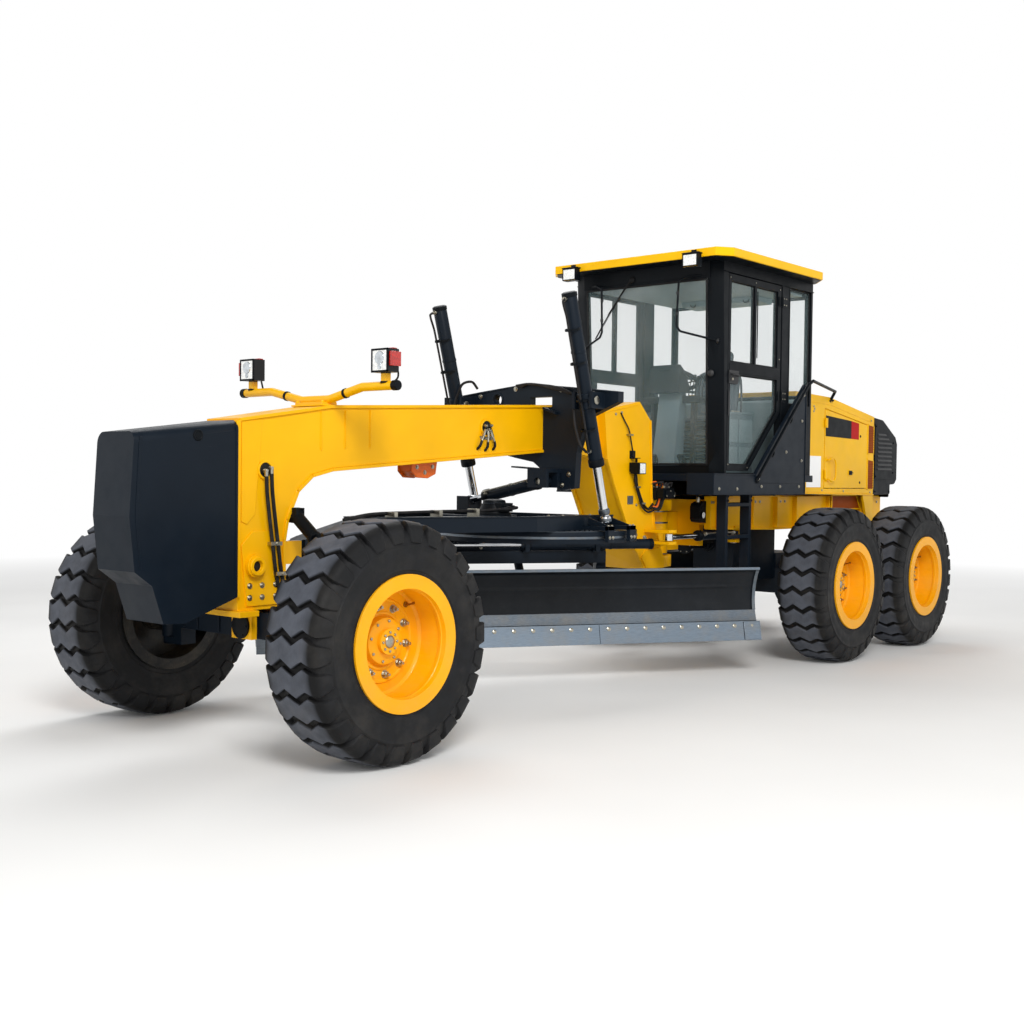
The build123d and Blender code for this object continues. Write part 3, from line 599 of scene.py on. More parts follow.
def tyre_mesh(cx, cy, side, spin):
    m = Mesh()

    def at(ang, off, r):
        return V(cx + r * math.cos(ang), cy + off, AXLE_Z + r * math.sin(ang))
    prof = [(o, r) for o, r in CARCASS] + [(-o, r) for o, r in reversed(CARCASS)]
    seg = 120
    n = len(prof)
    v = [at(2 * math.pi * i / seg, o, r) for i in range(seg) for o, r in prof]
    f = [(i * n + k, ((i + 1) % seg) * n + k, ((i + 1) % seg) * n + k + 1, i * n + k + 1) for i in range(seg) for k in range(n - 1)]
    f += [(i * n + n - 1, ((i + 1) % seg) * n + n - 1, ((i + 1) % seg) * n, i * n) for i in range(seg)]
    m.add(v, f)
    # full-width bars that zigzag across the tread and run down both shoulders
    rows = [(-to, tr, -fo, fr, w) for to, tr, fo, fr, w in reversed(LUG[1:])] + LUG
    ch = 0.0045
    for i in range(LUGS):
        loops = []
        for to, tr, fo, fr, w in rows:
            mid = spin + 2 * math.pi * i / LUGS + zigzag(to)
            hw = w / tr
            loops.append([at(a, o, r) for a, o, r in (
                (mid - hw * 1.13, fo, fr), (mid - hw * 1.04, to - (to - fo) * 0.28, tr - (tr - fr) * 0.22), (mid - hw + ch, to, tr),
                (mid + hw - ch, to, tr), (mid + hw * 1.04, to - (to - fo) * 0.28, tr - (tr - fr) * 0.22), (mid + hw * 1.13, fo, fr))])
        m.rings(loops)
    return m


for name, wx, side, spin in WHEELS:
    cy = side * TRACK
    body = "wheel_" + name
    t = piece("tyre_detail_" + name, tyre_mesh(wx, cy, side, spin), TYRES[wx], body, smooth=32)
    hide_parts("tyre_" + name)
    dress("rim_" + name, RIM_PAINT_INNER_SHADE, 0.004)
    out = side
    m = Mesh()
    c0 = (wx, cy, AXLE_Z)

    def off(r, ang, d):
        return (wx + r * math.cos(ang), cy + out * d, AXLE_Z + r * math.sin(ang))
    ax = (0, out, 0)
    # pressed ring round the disc, lock ring, gutter ring
    m.turn(c0, ax, [(0.214, 0.003), (0.221, 0.011), (0.232, 0.011), (0.239, 0.003)], 64)
    m.turn(c0, ax, [(0.300, 0.0035), (0.300, 0.020), (0.286, 0.0045), (0.282, 0.0035)], 64)
    m.ring((wx, cy + out * 0.2045, AXLE_Z), ax, 0.3785, 0.012, 0.016, 72)
    m.turn(c0, ax, [(0.3005, 0.150), (0.2950, 0.156), (0.2950, 0.176), (0.3005, 0.182)], 72)
    m.turn(c0, ax, [(0.141, 0.003), (0.146, 0.010), (0.160, 0.010), (0.166, 0.003)], 64)
    rim = piece("rim_rings_" + name, m, RIM_PAINT_INNER_SHADE, body, 0.0015)
    m = Mesh()
    for i in range(10):
        a = 2 * math.pi * i / 10 + 0.16 + spin
        m.hexbolt(off(0.190, a, 0.004), ax, 0.0175, 0.021, True, 0.020)
    for i in range(8):
        a = 2 * math.pi * i / 8 + spin
        m.hexbolt(off(0.052, a, 0.0745), ax, 0.008, 0.006, False)
        m.hexbolt(off(0.112, a + 0.2, 0.041), ax, 0.009, 0.007, False)
    m.dome((wx, cy + out * 0.074, AXLE_Z), ax, 0.036, 0.012)
    piece("wheel_nuts_" + name, m, ZINC if side else ZINC, body, 0.0012)
    m = Mesh()
    va = 2.35 + spin
    m.tube([off(0.262, va, 0.010), off(0.266, va, 0.034), off(0.274, va, 0.052)], 0.006, 10)
    m.cyl(off(0.274, va, 0.052), off(0.279, va, 0.064), 0.008, 12)
    m.ring(off(0.262, va, 0.006), ax, 0.017, 0.009, 0.008, 18)
    piece("valve_" + name, m, COPPER, body, 0.0008)


# ------------------------------------------------------------------ front frame
def weld(m, pts, r=0.0045, k=6):
    """Bead of weld along straight runs."""
    for a, b in zip(pts, pts[1:]):
        a, b = V(*a), V(*b)
        n = max(2, int((b - a).length / 0.05))
        loops = []
        ax, bx, w = basis(b - a)
        for i in range(n * 2 + 1):
            p = a.lerp(b, i / (n * 2))
            rr = r * (1.0 if i % 2 else 0.78)
            loops.append([p + (ax * math.cos(2 * math.pi * j / k) + bx * math.sin(2 * math.pi * j / k)) * rr for j in range(k)])
        m.rings(loops)


TOP = [(3.715, 1.901), (3.020, 2.010), (0.730, 2.127), (0.250, 2.112)]
UNDER = [(0.730, 1.778), (3.000, 1.598), (3.160, 1.560), (3.270, 1.470), (3.350, 1.300), (3.372, 1.180), (3.372, 0.790)]

m = Mesh()
for side in (1, -1):
    y = side * 0.150
    # flange plates standing a little proud of the web, top and bottom
    for line, dz in ((TOP, -0.020), (UNDER[:2], 0.020)):
        for (xa, za), (xb, zb) in zip(line, line[1:]):
            m.prism([(xa, za), (xb, zb), (xb, zb + dz), (xa, za + dz)], y - side * 0.004, y + side * 0.012)
    for (xa, za), (xb, zb) in zip(UNDER[1:], UNDER[2:]):
        d = V(xb - xa, 0, zb - za).normalized()
        n = V(-d.z, 0, d.x) * 0.020
        if n.x < 0:
            n = -n
        m.prism([(xa, za), (xb, zb), (xb + n.x, zb + n.z), (xa + n.x, za + n.z)], y - side * 0.004, y + side * 0.012)
    # upright stiffeners behind the nose
    for x in (3.094, 2.896, 2.684):
        t = 2.010 - (x - 3.020) * 0.157 if x > 3.02 else 2.010 + (3.020 - x) * 0.0511
        m.box((x - 0.0045, y, t - 0.030 - 0.24), (x + 0.0045, y + side * 0.009, t - 0.032))
    # doubler round the nose leg, foot plate and pin boss ring
    m.prism([(3.70, 1.16), (3.66, 0.80), (3.42, 0.80), (3.40, 1.20), (3.47, 1.24), (3.62, 1.24)], y, y + side * 0.010)
    m.ring((3.611, y + side * 0.026, 1.036), (0, 1, 0), 0.066, 0.018, 0.030, 40)
    m.turn((3.611, y + side * 0.030, 1.036), (0, side, 0), [(0.060, 0.0), (0.058, 0.006), (0.036, 0.006), (0.030, 0.001)], 40)
    m.prism([(3.55, 1.90), (3.70, 1.88), (3.70, 1.30), (3.66, 1.28), (3.60, 1.34)], y, y + side * 0.006)
flanges = piece("gooseneck_flanges", m, YELLOW_LOW, "front_frame", 0.002)

m = Mesh()
for side in (1, -1):
    y = side * 0.1505
    weld(m, [(x, y, z - 0.024) for x, z in TOP])
    weld(m, [(x, y, z + 0.024) for x, z in UNDER[:2]])
    weld(m, [(x + 0.010, y, z + 0.022) for x, z in UNDER[1:]][0:6])
    for x in (3.094, 2.896, 2.684):
        weld(m, [(x + 0.006, y, 1.95), (x + 0.006, y, 1.74)], 0.0035)
    weld(m, [(0.24, side * 0.221, 2.09), (-0.22, side * 0.221, 2.18)])
    weld(m, [(-0.41, side * 0.221, 1.42), (-0.45, side * 0.221, 1.20), (-0.54, side * 0.221, 1.01)])
piece("weld_beads", m, YELLOW_LOW, "front_frame", smooth=60)

# cross holes for the hoses, with rims, and the fittings in them
HOLES = [(3.528, 1.601, 0.046), (1.568, 1.921, 0.052)]
m, rims, fit, lines = Mesh(), Mesh(), Mesh(), Mesh()
for side in (1, -1):
    y = side * 0.150
    for x, z, r in HOLES:
        m.cyl((x, y + side * 0.001, z), (x, y + side * 0.0035, z), r, 40)
        rims.ring((x, y + side * 0.006, z), (0, 1, 0), r + 0.011, 0.013, 0.012, 40)
piece("hose_ports", m, SEAL, "front_frame", smooth=0)
piece("hose_port_rims", rims, YELLOW_LOW, "front_frame", 0.002)
for side in (1,):
    y = 0.150
    for dx, dz in ((-0.020, 0.012), (0.018, -0.004)):
        x, z = 3.528 + dx, 1.601 + dz
        fit.cyl((x, y + 0.004, z), (x, y + 0.030, z), 0.014, 6)
        fit.cyl((x, y + 0.030, z), (x, y + 0.048, z), 0.010, 16)
        fit.cyl((x, y + 0.038, z + 0.008), (x - 0.002, y + 0.038, z - 0.034), 0.0125, 6)
    for k, dx in enumerate((-0.022, 0.016)):
        x, z = 3.528 + dx, 1.567 + (0.012 if k == 0 else -0.004)
        lines.tube([(x, y + 0.038, z), (x - 0.004, y + 0.040, z - 0.10), (x - 0.030, y + 0.036, z - 0.27), (x - 0.062, y + 0.030, z - 0.45),
                    (x - 0.085, y + 0.026, z - 0.58), (x - 0.11, y + 0.022, z - 0.66), (x - 0.155, y + 0.008, z - 0.72)], 0.0115, 12, 8)
    for x, z in ((3.470, 1.165), (3.425, 0.985)):
        fit.box((x - 0.040, y + 0.006, z - 0.011), (x + 0.042, y + 0.048, z + 0.011))
        fit.hexbolt((x - 0.001, y + 0.048, z), (0, 1, 0), 0.007, 0.005)
    for dx, dz in ((-0.026, 0.018), (0.004, -0.012), (0.030, 0.014), (-0.012, -0.026)):
        x, z = 1.568 + dx, 1.921 + dz
        fit.cyl((x, y + 0.003, z), (x, y + 0.026, z), 0.012, 6)
        fit.cyl((x, y + 0.026, z), (x, y + 0.040, z), 0.0085, 14)
    # unions and short ends turning down out of the rear port
    for dx, dz, tilt in ((-0.026, 0.004, -0.020), (0.000, -0.004, 0.004), (0.028, 0.004, 0.026)):
        x, z = 1.568 + dx, 1.905 + dz
        fit.cyl((x, y + 0.020, z), (x + tilt, y + 0.026, z - 0.050), 0.0115, 6)
        fit.cyl((x + tilt, y + 0.026, z - 0.050), (x + tilt * 1.7, y + 0.028, z - 0.082), 0.0085, 14)
        lines.tube([(x + tilt * 1.7, y + 0.028, z - 0.080), (x + tilt * 2.2, y + 0.026, z - 0.110), (x + tilt * 2.4, y + 0.010, z - 0.132), (x + tilt * 2.4, y - 0.004, z - 0.140)], 0.0095, 12, 8)
    fit.prism([(1.500, 1.862), (1.636, 1.862), (1.628, 1.838), (1.508, 1.838)], y + 0.001, y + 0.006)
piece("hose_fittings_front", fit, ZINC, "front_frame", 0.0008)
piece("clipped_lines_front", lines, HOSE, "front_frame", smooth=60)

# bracket under the gooseneck, foot bolts of the nose, tow eye plate, bolted plates
m = Mesh()
m.prism([(2.217, 1.652), (1.983, 1.674), (2.0, 1.6), (2.067, 1.572), (2.167, 1.576), (2.208, 1.61)], -0.060, 0.060)
for side in (1, -1):
    m.prism([(2.225, 1.664), (1.975, 1.688), (1.992, 1.59), (2.067, 1.56), (2.175, 1.564), (2.225, 1.606)], side * 0.060, side * 0.070)
piece("gooseneck_bracket", m, ORANGE, "front_frame", 0.004)
m = Mesh()
for side in (1, -1):
    for x, z in ((2.175, 1.635), (2.10, 1.600), (2.025, 1.640)):
        m.hexbolt((x, side * 0.070, z), (0, side, 0), 0.011, 0.008)
    for z in (0.85, 0.92):
        for x in (3.45, 3.55, 3.64):
            m.hexbolt((x, side * 0.160, z), (0, side, 0), 0.013, 0.010)
piece("front_frame_bolts", m, ZINC, "front_frame", 0.0008)
m, k = Mesh(), Mesh()
for side in (1, -1):
    m.turn((3.611, side * 0.180, 1.036), (0, side, 0), [(0.056, -0.002), (0.056, 0.022), (0.052, 0.027), (0.036, 0.027), (0.033, 0.022), (0.033, -0.002)], 40)
    k.turn((3.611, side * 0.180, 1.036), (0, side, 0), [(0.0335, 0.001), (0.030, 0.0015), (0.016, 0.0015), (0.014, 0.006), (0.0005, 0.006)], 32)
piece("nose_boss_rims", m, YELLOW_LOW, "front_frame", 0.001)
piece("nose_boss_cores", k, SEAL, "front_frame", 0.001)

# axle pivot, kingpin caps, lean and steering links seen behind the nose
m = Mesh()
for side in (1, -1):
    y = side * 0.880
    m.turn((3.460, y, 0.860), (0, 0, 1), [(0.052, 0.0), (0.052, 0.008), (0.034, 0.016), (0.012, 0.016), (0.012, 0.022), (0.0005, 0.022)], 36)
    m.turn((3.460, y, 0.480), (0, 0, -1), [(0.052, 0.0), (0.052, 0.008), (0.030, 0.014), (0.0005, 0.014)], 36)
    m.ring((3.460, y, 0.842), (0, 0, 1), 0.0575, 0.004, 0.006, 36)
    for k in range(4):
        a = math.pi / 4 + math.pi / 2 * k
        m.hexbolt((3.460 + 0.042 * math.cos(a), y + 0.042 * math.sin(a), 0.868), (0, 0, 1), 0.0065, 0.005)
m.turn((3.576, 0, 0.670), (1, 0, 0), [(0.078, 0.0), (0.078, 0.014), (0.052, 0.020), (0.0005, 0.020)], 40)
m.turn((3.345, 0, 0.670), (-1, 0, 0), [(0.070, 0.0), (0.070, 0.012), (0.050, 0.016), (0.0005, 0.016)], 40)
for k in range(6):
    a = math.pi / 3 * k
    m.hexbolt((3.590, 0.062 * math.cos(a), 0.670 + 0.062 * math.sin(a)), (1, 0, 0), 0.008, 0.006)
piece("axle_pivot_caps", m, BLACK, "front_frame", 0.0012)
m = Mesh()
for side in (1, -1):
    # ribs on the beam and the bolted stop blocks
    for x in (0.30, 0.52, 0.66):
        m.box((3.515, side * (x - 0.008), 0.600), (3.524, side * (x + 0.008), 0.742))
    m.prism([(3.395, 0.760), (3.395, 0.800), (3.525, 0.800), (3.525, 0.760)], side * 0.35, side * 0.50)
piece("axle_ribs", m, SLATE, "front_frame", 0.002)
m = Mesh()
m.cyl((3.300, 0.160, 1.330), (3.300, 0.330, 1.205), 0.040, 28)
m.cyl((3.300, 0.330, 1.205), (3.300, 0.345, 1.194), 0.045, 28)
m.cyl((3.300, 0.345, 1.194), (3.300, 0.520, 1.064), 0.021, 20)
m.cyl((3.272, 0.160, 1.330), (3.328, 0.160, 1.330), 0.047, 28)
m.cyl((3.272, 0.530, 1.056), (3.328, 0.530, 1.056), 0.036, 28)
m.box((3.268, 0.120, 1.285), (3.280, 0.205, 1.375))
m.box((3.320, 0.120, 1.285), (3.332, 0.205, 1.375))
piece("lean_cylinder", m, BLACK, "front_frame", 0.0015)
m = Mesh()
for s in (1, -1):
    m.prism([(0.560, 1.020), (0.590, 1.060), (0.545, 1.092), (0.500, 1.070), (0.470, 0.760), (0.520, 0.755)], 3.300 + s * 0.032, 3.300 + s * 0.044, "yz")
m.box((3.256, 0.455, 0.752), (3.404, 0.535, 0.768))
m.box((3.395, 0.440, 0.700), (3.408, 0.550, 0.768))
piece("lean_link", m, YELLOW_LOW, "front_frame", 0.002)

# counterweight: side plate joints, front seams, tie-down lugs and bolts
m = Mesh()
for side in (1, -1):
    y = side * 0.1805
    m.prism([(4.395, 1.775), (4.420, 1.345), (4.392, 1.058), (4.380, 1.058), (4.407, 1.345), (4.383, 1.775)], y - side * 0.001, y + side * 0.0035)
    m.box((3.752, y - side * 0.001, 0.90), (3.760, y + side * 0.004, 1.860))
piece("counterweight_seams", m, SLATE, "front_frame", 0.001)
m = Mesh()
for side in (1, -1):
    m.turn((4.020, side * 0.180, 1.790), (0, side, 0), [(0.034, -0.001), (0.034, 0.002), (0.026, 0.0045), (0.022, 0.0006)], 30)
    m.cyl((4.020, side * 0.1795, 1.790), (4.020, side * 0.1812, 1.790), 0.024, 24)
    m.hexbolt((4.150, side * 0.090, 0.742), (0, 0, -1), 0.016, 0.010)
piece("counterweight_bolts", m, BLACK, "front_frame", 0.001)
# mounting plate between counterweight and nose, lower cross plate
m = Mesh()
m.box((3.716, -0.172, 0.86), (3.746, 0.172, 1.885))
m.box((3.60, -0.200, 0.742), (3.74, 0.200, 0.776))
piece("counterweight_mount", m, YELLOW_LOW, "front_frame", 0.003)

# ------------------------------------------------------------------ lamps
lo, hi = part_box("lamp_bar")
X0 = 3.010
for side, nm in ((1, "left"), (-1, "right")):
    yc = side * 0.632
    m, g, r, b = Mesh(), Mesh(), Mesh(), Mesh()
    # housing shell with a bevelled bezel
    x1 = X0 + 0.052
    for w, d, x in ((0.0, 0.0, 0.0),):
        m.box((x1 - 0.006, yc - 0.071, 2.189), (x1 + 0.004, yc + 0.071, 2.200))
        m.box((x1 - 0.006, yc - 0.071, 2.320), (x1 + 0.004, yc + 0.071, 2.331))
        m.box((x1 - 0.006, yc - 0.071, 2.189), (x1 + 0.004, yc - 0.060, 2.331))
        m.box((x1 - 0.006, yc + 0.060, 2.189), (x1 + 0.004, yc + 0.071, 2.331))
    for k in range(6):
        z = 2.205 + k * 0.022
        m.box((X0 - 0.047, yc - 0.062, z), (X0 - 0.039, yc + 0.062, z + 0.009))
    m.cyl((X0, yc, 2.128), (X0, yc, 2.138), 0.034, 24)
    piece("lamp_bezel_" + nm, m, BLACK, "front_frame", 0.0015)
    g.box((x1 - 0.003, yc - 0.059, 2.201), (x1 + 0.0015, yc + 0.059, 2.319))
    piece("lamp_glass_" + nm, g, LENS, "front_frame", 0.001)
    b.turn((x1 + 0.0015, yc, 2.275), (1, 0, 0), [(0.040, 0.0), (0.038, 0.003), (0.030, 0.001), (0.020, 0.0035), (0.0005, 0.0035)], 32)
    b.turn((x1 + 0.0015, yc, 2.222), (1, 0, 0), [(0.016, 0.0), (0.015, 0.003), (0.0005, 0.004)], 24)
    piece("lamp_reflector_" + nm, b, MIRROR, "front_frame", 0)
    r.box((X0 - 0.030, yc + side * 0.0705, 2.225), (X0 + 0.044, yc + side * 0.100, 2.312))
    r.box((X0 - 0.036, yc - 0.060, 2.3305), (X0 + 0.0, yc + 0.060, 2.338))
    piece("lamp_marker_" + nm, r, LENS_RED, "front_frame", 0.003)
    m = Mesh()
    m.tube([(X0 - 0.036, yc, 2.235), (X0 - 0.075, yc + side * 0.02, 2.215), (X0 - 0.085, yc + side * 0.01, 2.160), (X0 - 0.050, yc - side * 0.05, 2.118), (X0 - 0.026, yc - side * 0.09, 2.112)], 0.006, 10, 8)
    piece("lamp_lead_" + nm, m, HOSE, "front_frame", smooth=60)
    m = Mesh()
    m.cyl((X0, side * 0.700, 2.112), (X0, side * 0.736, 2.112), 0.031, 28)
    m.turn((X0, side * 0.736, 2.112), (0, side, 0), [(0.031, 0.0), (0.027, 0.006), (0.0005, 0.007)], 28)
    m.ring((X0, side * 0.28, 2.079), (0, 1, 0.22 * side), 0.031, 0.006, 0.020, 28)
    piece("lamp_bar_cap_" + nm, m, BLACK, "front_frame", 0.001)
m = Mesh()
m.box((X0 - 0.075, -0.150, 2.004), (X0 + 0.075, 0.150, 2.014))
for x in (-0.048, 0.048):
    for y in (-0.118, 0.118):
        m.hexbolt((X0 + x, y, 2.030), (0, 0, 1), 0.010, 0.008)
piece("lamp_bar_foot", m, YELLOW, "front_frame", 0.0015)


# ------------------------------------------------------------------ lift and shift cylinders
def cylinder_trim(m, p, q, s0, s1, r, ports=(0.05, 0.95), side=(0, 1, 0), bands=1):
    """Gland, end cap, bands and port bosses on a barrel that runs p -> q from s0 to s1; returns the port tips."""
    p, q = V(*p), V(*q)
    w = (q - p).normalized()
    a, b = p + w * s0, p + w * s1
    n = V(*side)
    n = (n - w * n.dot(w)).normalized()
    m.use(1)
    m.turn(b, w, [(r + 0.0035, -0.055), (r + 0.006, -0.050), (r + 0.006, -0.008), (r + 0.001, 0.0), (r * 0.62, 0.003)], 36)
    m.turn(a, -w, [(r + 0.004, -0.030), (r + 0.004, -0.004), (r * 0.8, 0.004), (0.0005, 0.004)], 36)
    m.use(0)
    for k in range(bands):
        c = a.lerp(b, (k + 1) / (bands + 1))
        m.turn(c, w, [(r, -0.010), (r + 0.003, -0.008), (r + 0.003, 0.008), (r, 0.010)], 36)
    m.use(2)
    pts = []
    for f in ports:
        c = a.lerp(b, f) + n * r
        m.cyl(c - n * 0.004, c + n * 0.016, 0.016, 20)
        m.cyl(c + n * 0.016, c + n * 0.030, 0.013, 6)
        pts.append(c + n * 0.026)
    return pts, n, w


T0, S0 = (1.030, 0.630, 2.130), (0.780, 0.630, 1.270)
m, hoses, clips = Mesh(), Mesh(), Mesh()
for side in (1, -1):
    T = (T0[0], side * T0[1], T0[2])
    S = (S0[0], side * S0[1], S0[2])
    pts, n, w = cylinder_trim(m, T, S, -0.778, 0.489, 0.052, (0.03, 0.90), (1, 0, 0), 2)
    # trunnion band with bolts
    m.use(0)
    m.turn(T, w, [(0.052, -0.060), (0.062, -0.052), (0.062, 0.052), (0.052, 0.060)], 40)
    m.use(2)
    for y in (0.093, -0.093):
        m.turn((T[0], T[1] + y, T[2]), (0, math.copysign(1, y), 0), [(0.030, 0.0), (0.030, 0.004), (0.020, 0.008), (0.0005, 0.008)], 28)
    # line up the barrel and the hose that comes to it in a loop
    top, low = pts
    clips_at = [0.20, 0.42, 0.66, 0.86]
    run = [top, top + V(0.020, 0, -0.02), top.lerp(low, 0.12) + n * 0.010, top.lerp(low, 0.5) + n * 0.006, low + n * 0.002]
    hoses.tube([p + V(0, side * 0.014, 0) for p in run], 0.0085, 10, 8)
    if side < 0:
        hoses.tube([low + V(0, -0.012, 0), low + V(0.06, -0.02, 0.06), low + V(0.10, 0.02, 0.30), low + V(0.07, 0.08, 0.52), low + V(0.0, 0.12, 0.55), low + V(-0.06, 0.13, 0.50)], 0.010, 10, 8)
    else:
        hoses.tube([low + V(0, -0.012, 0), low + V(0.05, -0.03, 0.05), low + V(0.07, -0.07, 0.22), low + V(0.03, -0.10, 0.40), low + V(-0.04, -0.11, 0.44)], 0.010, 10, 8)
    for f in clips_at:
        c = top.lerp(low, f)
        clips.turn(c - n * 0.052, w, [(0.054, -0.008), (0.0565, -0.007), (0.0565, 0.007), (0.054, 0.008)], 36)
        clips.box(c + V(-0.006, side * 0.014 - 0.012, -0.009), c + V(0.016, side * 0.014 + 0.012, 0.009))
piece("lift_cylinder_glands", m, [SLATE, BLACK, ZINC], "lift_cylinders", 0.001)
piece("lift_cylinder_lines", hoses, HOSE, "lift_cylinders", smooth=60)
piece("lift_cylinder_clips", clips, BLACK, "lift_cylinders", 0)
m = Mesh()
for side in (1, -1):
    c = V(0.780, side * 0.630, 1.270)
    w = (V(*S0) - V(*T0)).normalized()
    m.turn(c - w * 0.075, w, [(0.0325, -0.012), (0.041, -0.006), (0.043, 0.020), (0.036, 0.034)], 32)
    m.turn(c, (0, 0, 1), [(0.0465, -0.012), (0.0475, 0.0), (0.0465, 0.012)], 36)
piece("lift_ball_collars", m, STEEL, "lift_rods", 0.0008)
m = Mesh()
for side in (1, -1):
    c = V(0.780, side * 0.630, 1.2215)
    m.turn(c, (0, 0, 1), [(0.058, -0.005), (0.058, 0.004), (0.050, 0.008), (0.040, 0.001)], 36)
    for k in range(4):
        a = math.pi / 4 + k * math.pi / 2
        m.hexbolt((c.x + 0.050 * math.cos(a), c.y + 0.030 * math.sin(a), 1.2175), (0, 0, 1), 0.007, 0.006, False)
piece("lift_sockets", m, BLACK, "drawbar", 0.001)

A, B = (1.025, 0.240, 1.545), (1.025, -0.480, 1.395)
m = Mesh()
pts, n, w = cylinder_trim(m, A, B, 0.040, 0.590, 0.046, (0.10, 0.90), (1, 0, 0.4), 1)
m.use(2)
m.tube([pts[0], pts[0] + V(0.02, 0, 0), pts[0].lerp(pts[1], 0.3) + V(0.016, 0, 0), pts[1] + V(0.012, 0, 0), pts[1]], 0.007, 8, 6)
m.turn((1.074, 0.240, 1.545), (1, 0, 0), [(0.030, 0.0), (0.030, 0.006), (0.0005, 0.008)], 24)
piece("shift_cylinder_trim", m, [SLATE, BLACK, ZINC], "drawbar_shift_cylinder", 0.001)

for side, nm in ((1, "left"), (-1, "right")):
    m = Mesh()
    pts, n, w = cylinder_trim(m, (-1.400, side * 0.420, 1.100), (-0.370, side * 0.420, 1.100), 0.035, 0.600, 0.040, (0.10, 0.90), (0, side, 0.3), 0)
    m.use(2)
    m.tube([pts[0], pts[0] + V(0.03, 0, 0), pts[0].lerp(pts[1], 0.5) + V(0, -side * 0.006, 0.004), pts[1]], 0.0065, 8, 6)
    piece("artic_cylinder_trim_" + nm, m, [SLATE, BLACK, ZINC], "artic_cylinder_" + nm, 0.001)

m = Mesh()
cylinder_trim(m, (3.361, 0.250, 0.700), (3.266, 0.860, 0.700), 0.040, 0.405, 0.038, (0.12, 0.88), (0, 0, 1), 0)
piece("steering_cylinder_trim", m, [BLACK, BLACK, ZINC], "front_frame", 0.001)

# ------------------------------------------------------------------ saddle
m = Mesh()
for side in (1, -1):
    # doublers, ribs and pin caps of the trunnion lugs
    for y0 in (0.566, 0.694):
        m.turn((1.030, side * (y0 - 0.013), 2.130), (0, 1, 0), [(0.044, -0.016), (0.048, -0.013), (0.048, 0.013), (0.044, 0.016)], 32)
    m.prism([(side * 0.20, 2.262), (side * 0.78, 2.198), (side * 0.78, 2.188), (side * 0.20, 2.250)], 0.858, 0.937, "yz")
    m.prism([(side * 0.18, 2.10), (side * 0.30, 2.06), (side * 0.30, 2.04), (side * 0.18, 2.08)], 0.930, 0.975, "yz")
m.prism([(-0.150, 1.66), (0.12, 1.645), (0.12, 1.632), (-0.150, 1.648)], 0.860, 0.940, "yz")
m.ring((0.9305, -0.300, 2.168), (1, 0, 0), 0.056, 0.014, 0.012, 36)
piece("saddle_ribs", m, SLATE, "front_frame", 0.002)
m = Mesh()
for y, z in ((0.32, 2.225), (-0.12, 2.245), (-0.48, 2.200), (0.62, 2.185), (-0.66, 2.178), (0.40, 1.60), (0.34, 1.52)):
    m.hexbolt((0.9305, y, z), (1, 0, 0), 0.014, 0.010)
    m.hexbolt((0.8645, y, z), (-1, 0, 0), 0.014, 0.010)
piece("saddle_bolts", m, ZINC, "front_frame", 0.0008)
m = Mesh()
for k, dz in enumerate((0.0, 0.026, 0.052)):
    m.tube([(0.948, -0.10 + k * 0.02, 2.268 - dz * 0.2), (0.955, 0.02, 2.276), (0.950, 0.14 + k * 0.012, 2.262), (0.962, 0.26, 2.234 + dz * 0.3), (0.965, 0.36, 2.212 + dz * 0.3), (0.952, 0.42 + k * 0.01, 2.190)], 0.0095, 10, 8)
    m.tube([(0.700, 0.168 + 0.0 * k, 2.02 - dz), (0.760, 0.172, 2.03 - dz), (0.83, 0.178, 2.05 - dz), (0.850, 0.176, 2.07 - dz)], 0.0095, 10, 6)
piece("saddle_lines", m, HOSE, "front_frame", smooth=60)

# ------------------------------------------------------------------ drawbar and circle
m = Mesh()
for side in (1, -1):
    # guide shoes: arm from the side rail, leg beside the ring
    for xa in (0.640, 0.905):
        m.box((xa, side * 0.570, 1.200), (xa + 0.075, side * 0.806, 1.232))
        m.box((xa, side * 0.774, 1.117), (xa + 0.075, side * 0.806, 1.232))
        m.prism([(side * 0.600, 1.232), (side * 0.790, 1.232), (side * 0.600, 1.290)], xa + 0.030, xa + 0.045, "yz")
    # edge flange along each side
    m.box((0.612, side * 0.512, 1.296), (1.498, side * 0.584, 1.304))
    m.prism([(1.500, side * 0.584), (2.652, side * 0.136), (2.652, side * 0.060), (1.500, side * 0.512)], 1.296, 1.304, "xy")
    for x in (0.95, 1.25):
        m.prism([(side * 0.520, 1.232), (side * 0.430, 1.232), (side * 0.520, 1.290)], x, x + 0.014, "yz")
m.box((1.180, -0.118, 1.286), (1.430, 0.118, 1.297))
piece("drawbar_guides", m, SLATE, "drawbar", 0.002)
m = Mesh()
for side in (1, -1):
    for xa in (0.640, 0.905):
        for dx in (0.018, 0.057):
            m.hexbolt((xa + dx, side * 0.7915, 1.232), (0, 0, 1), 0.010, 0.008)
            m.hexbolt((xa + dx, side * 0.806, 1.150), (0, side, 0), 0.009, 0.007)
    for x in (0.70, 0.86, 1.02, 1.18, 1.34):
        m.hexbolt((x, side * 0.548, 1.304), (0, 0, 1), 0.009, 0.007)
for i in range(12):
    a = 2 * math.pi * i / 12
    m.hexbolt((1.300 + 0.100 * math.cos(a), 0.100 * math.sin(a), 1.297), (0, 0, 1), 0.008, 0.007)
piece("drawbar_bolts", m, ZINC, "drawbar", 0.0008)
m = Mesh()
m.turn((1.300, 0, 1.297), (0, 0, 1), [(0.125, 0.0), (0.125, 0.014), (0.112, 0.020), (0.094, 0.024), (0.090, 0.060), (0.0925, 0.064), (0.0925, 0.080), (0.088, 0.084)], 44)
m.turn((1.300, 0, 1.392), (0, 0, 1), [(0.086, -0.004), (0.080, 0.012), (0.050, 0.020), (0.0005, 0.020)], 44)
m.box((1.235, 0.060, 1.322), (1.365, 0.125, 1.386))
